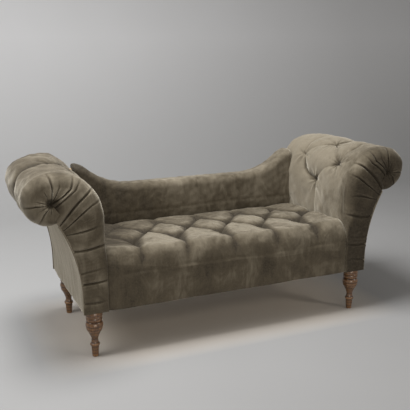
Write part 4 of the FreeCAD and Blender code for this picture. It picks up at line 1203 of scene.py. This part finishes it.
# Stage, lights and camera
def make_stage():
    """A pale floor that sweeps up into the wall behind, with painted shade to the right and painted warm
    light under the seat.
    """
    n = Nodes("studio_grey")
    at = n.place((1, 1, 1))
    spots = n.noise(at, 1.3, 2.0, 0.5)
    spread = n.add("ShaderNodeSeparateXYZ", ("Vector", at)).outputs
    along = n.span(spread["Y"], -1.5, 2.2, 0.0, 0.35)
    up = n.span(spread["Z"], 0.0, 1.3, 0.0, 0.65)
    colour = n.ramp(n.maths("ADD", along, up), (0.0, FLOOR_NEAR), (0.35, FLOOR_FAR), (1.0, WALL))
    # Painted shade: the sweep darkens towards the right, away from the key light
    colour = n.mix(n.span(spread["X"], -2.5, 3.5, 0.0, 0.30), colour, (0.0, 0.0, 0.0))
    colour = n.mix(n.span(spots, 0.3, 0.7, 0.0, 0.08), colour, (0.40, 0.40, 0.40))
    # Painted warm light on the floor under the seat, where the seat's bounce light falls
    beside = n.span(n.maths("MULTIPLY", spread["X"], spread["X"]), 0.20, 0.75, 1.0, 0.0)
    before = n.span(n.maths("MULTIPLY", spread["Y"], spread["Y"]), 0.00, 0.20, 0.72, 0.0)
    colour = n.mix(n.maths("MULTIPLY", beside, before), colour, UNDER_SEAT)
    material = n.finish({"Base Color": colour}, Roughness=0.9, Specular_IOR_Level=0.1)
    points = [(-SWEEP_REACH, 0.0), (SWEEP_START, 0.0)]
    for turn in np.linspace(0, QUARTER, 24)[1:]:
        points.append((SWEEP_START + SWEEP_RADIUS * math.sin(turn), SWEEP_RADIUS * (1 - math.cos(turn))))
    points.append((SWEEP_START + SWEEP_RADIUS, WALL_TOP))
    places = [(x, y, z) for y, z in points for x in (-SWEEP_REACH, SWEEP_REACH)]
    faces = [[2 * i, 2 * i + 1, 2 * i + 3, 2 * i + 2] for i in range(len(points) - 1)]
    new_object("studio_sweep", places, faces, material)


def make_lights():
    """Soft round lights, and a dim even light from all round."""
    for name, (place, target, size, power, colour) in LIGHTS.items():
        data = bpy.data.lights.new(name, "AREA")
        data.shape = "DISK"
        data.size = size
        data.energy = power
        data.color = colour
        lamp = bpy.data.objects.new(name, data)
        lamp.location = place
        lamp.rotation_euler = (Vector(target) - Vector(place)).to_track_quat("-Z", "Y").to_euler()
        bpy.context.scene.collection.objects.link(lamp)
    world = bpy.data.worlds.new("studio")
    world.use_nodes = True
    background = world.node_tree.nodes["Background"]
    background.inputs["Color"].default_value = WORLD_COLOUR
    background.inputs["Strength"].default_value = WORLD_STRENGTH
    bpy.context.scene.world = world


def make_camera():
    """The photograph's view."""
    data = bpy.data.cameras.new("camera")
    data.lens = CAMERA_LENS
    data.sensor_width = CAMERA_SENSOR
    camera = bpy.data.objects.new("camera", data)
    camera.location = CAMERA_PLACE
    camera.rotation_euler = (math.radians(90 + CAMERA_PITCH), 0, math.radians(CAMERA_AZIMUTH))
    bpy.context.scene.collection.objects.link(camera)
    bpy.context.scene.camera = camera
    bpy.context.scene.view_settings.view_transform = "Standard"


dress_nodes()
make_camera()
make_stage()
make_lights()
make_seat()
make_buttons("seat_buttons_covered", "seat_buttons", [(c - [0, 0, 0.003], (0, 0, 1)) for c in SEAT_BUTTONS])
for arm_side in ("right", "left"):
    make_arm(arm_side)
    make_outside_arm(arm_side)
    make_arm_rear(arm_side)
make_back()
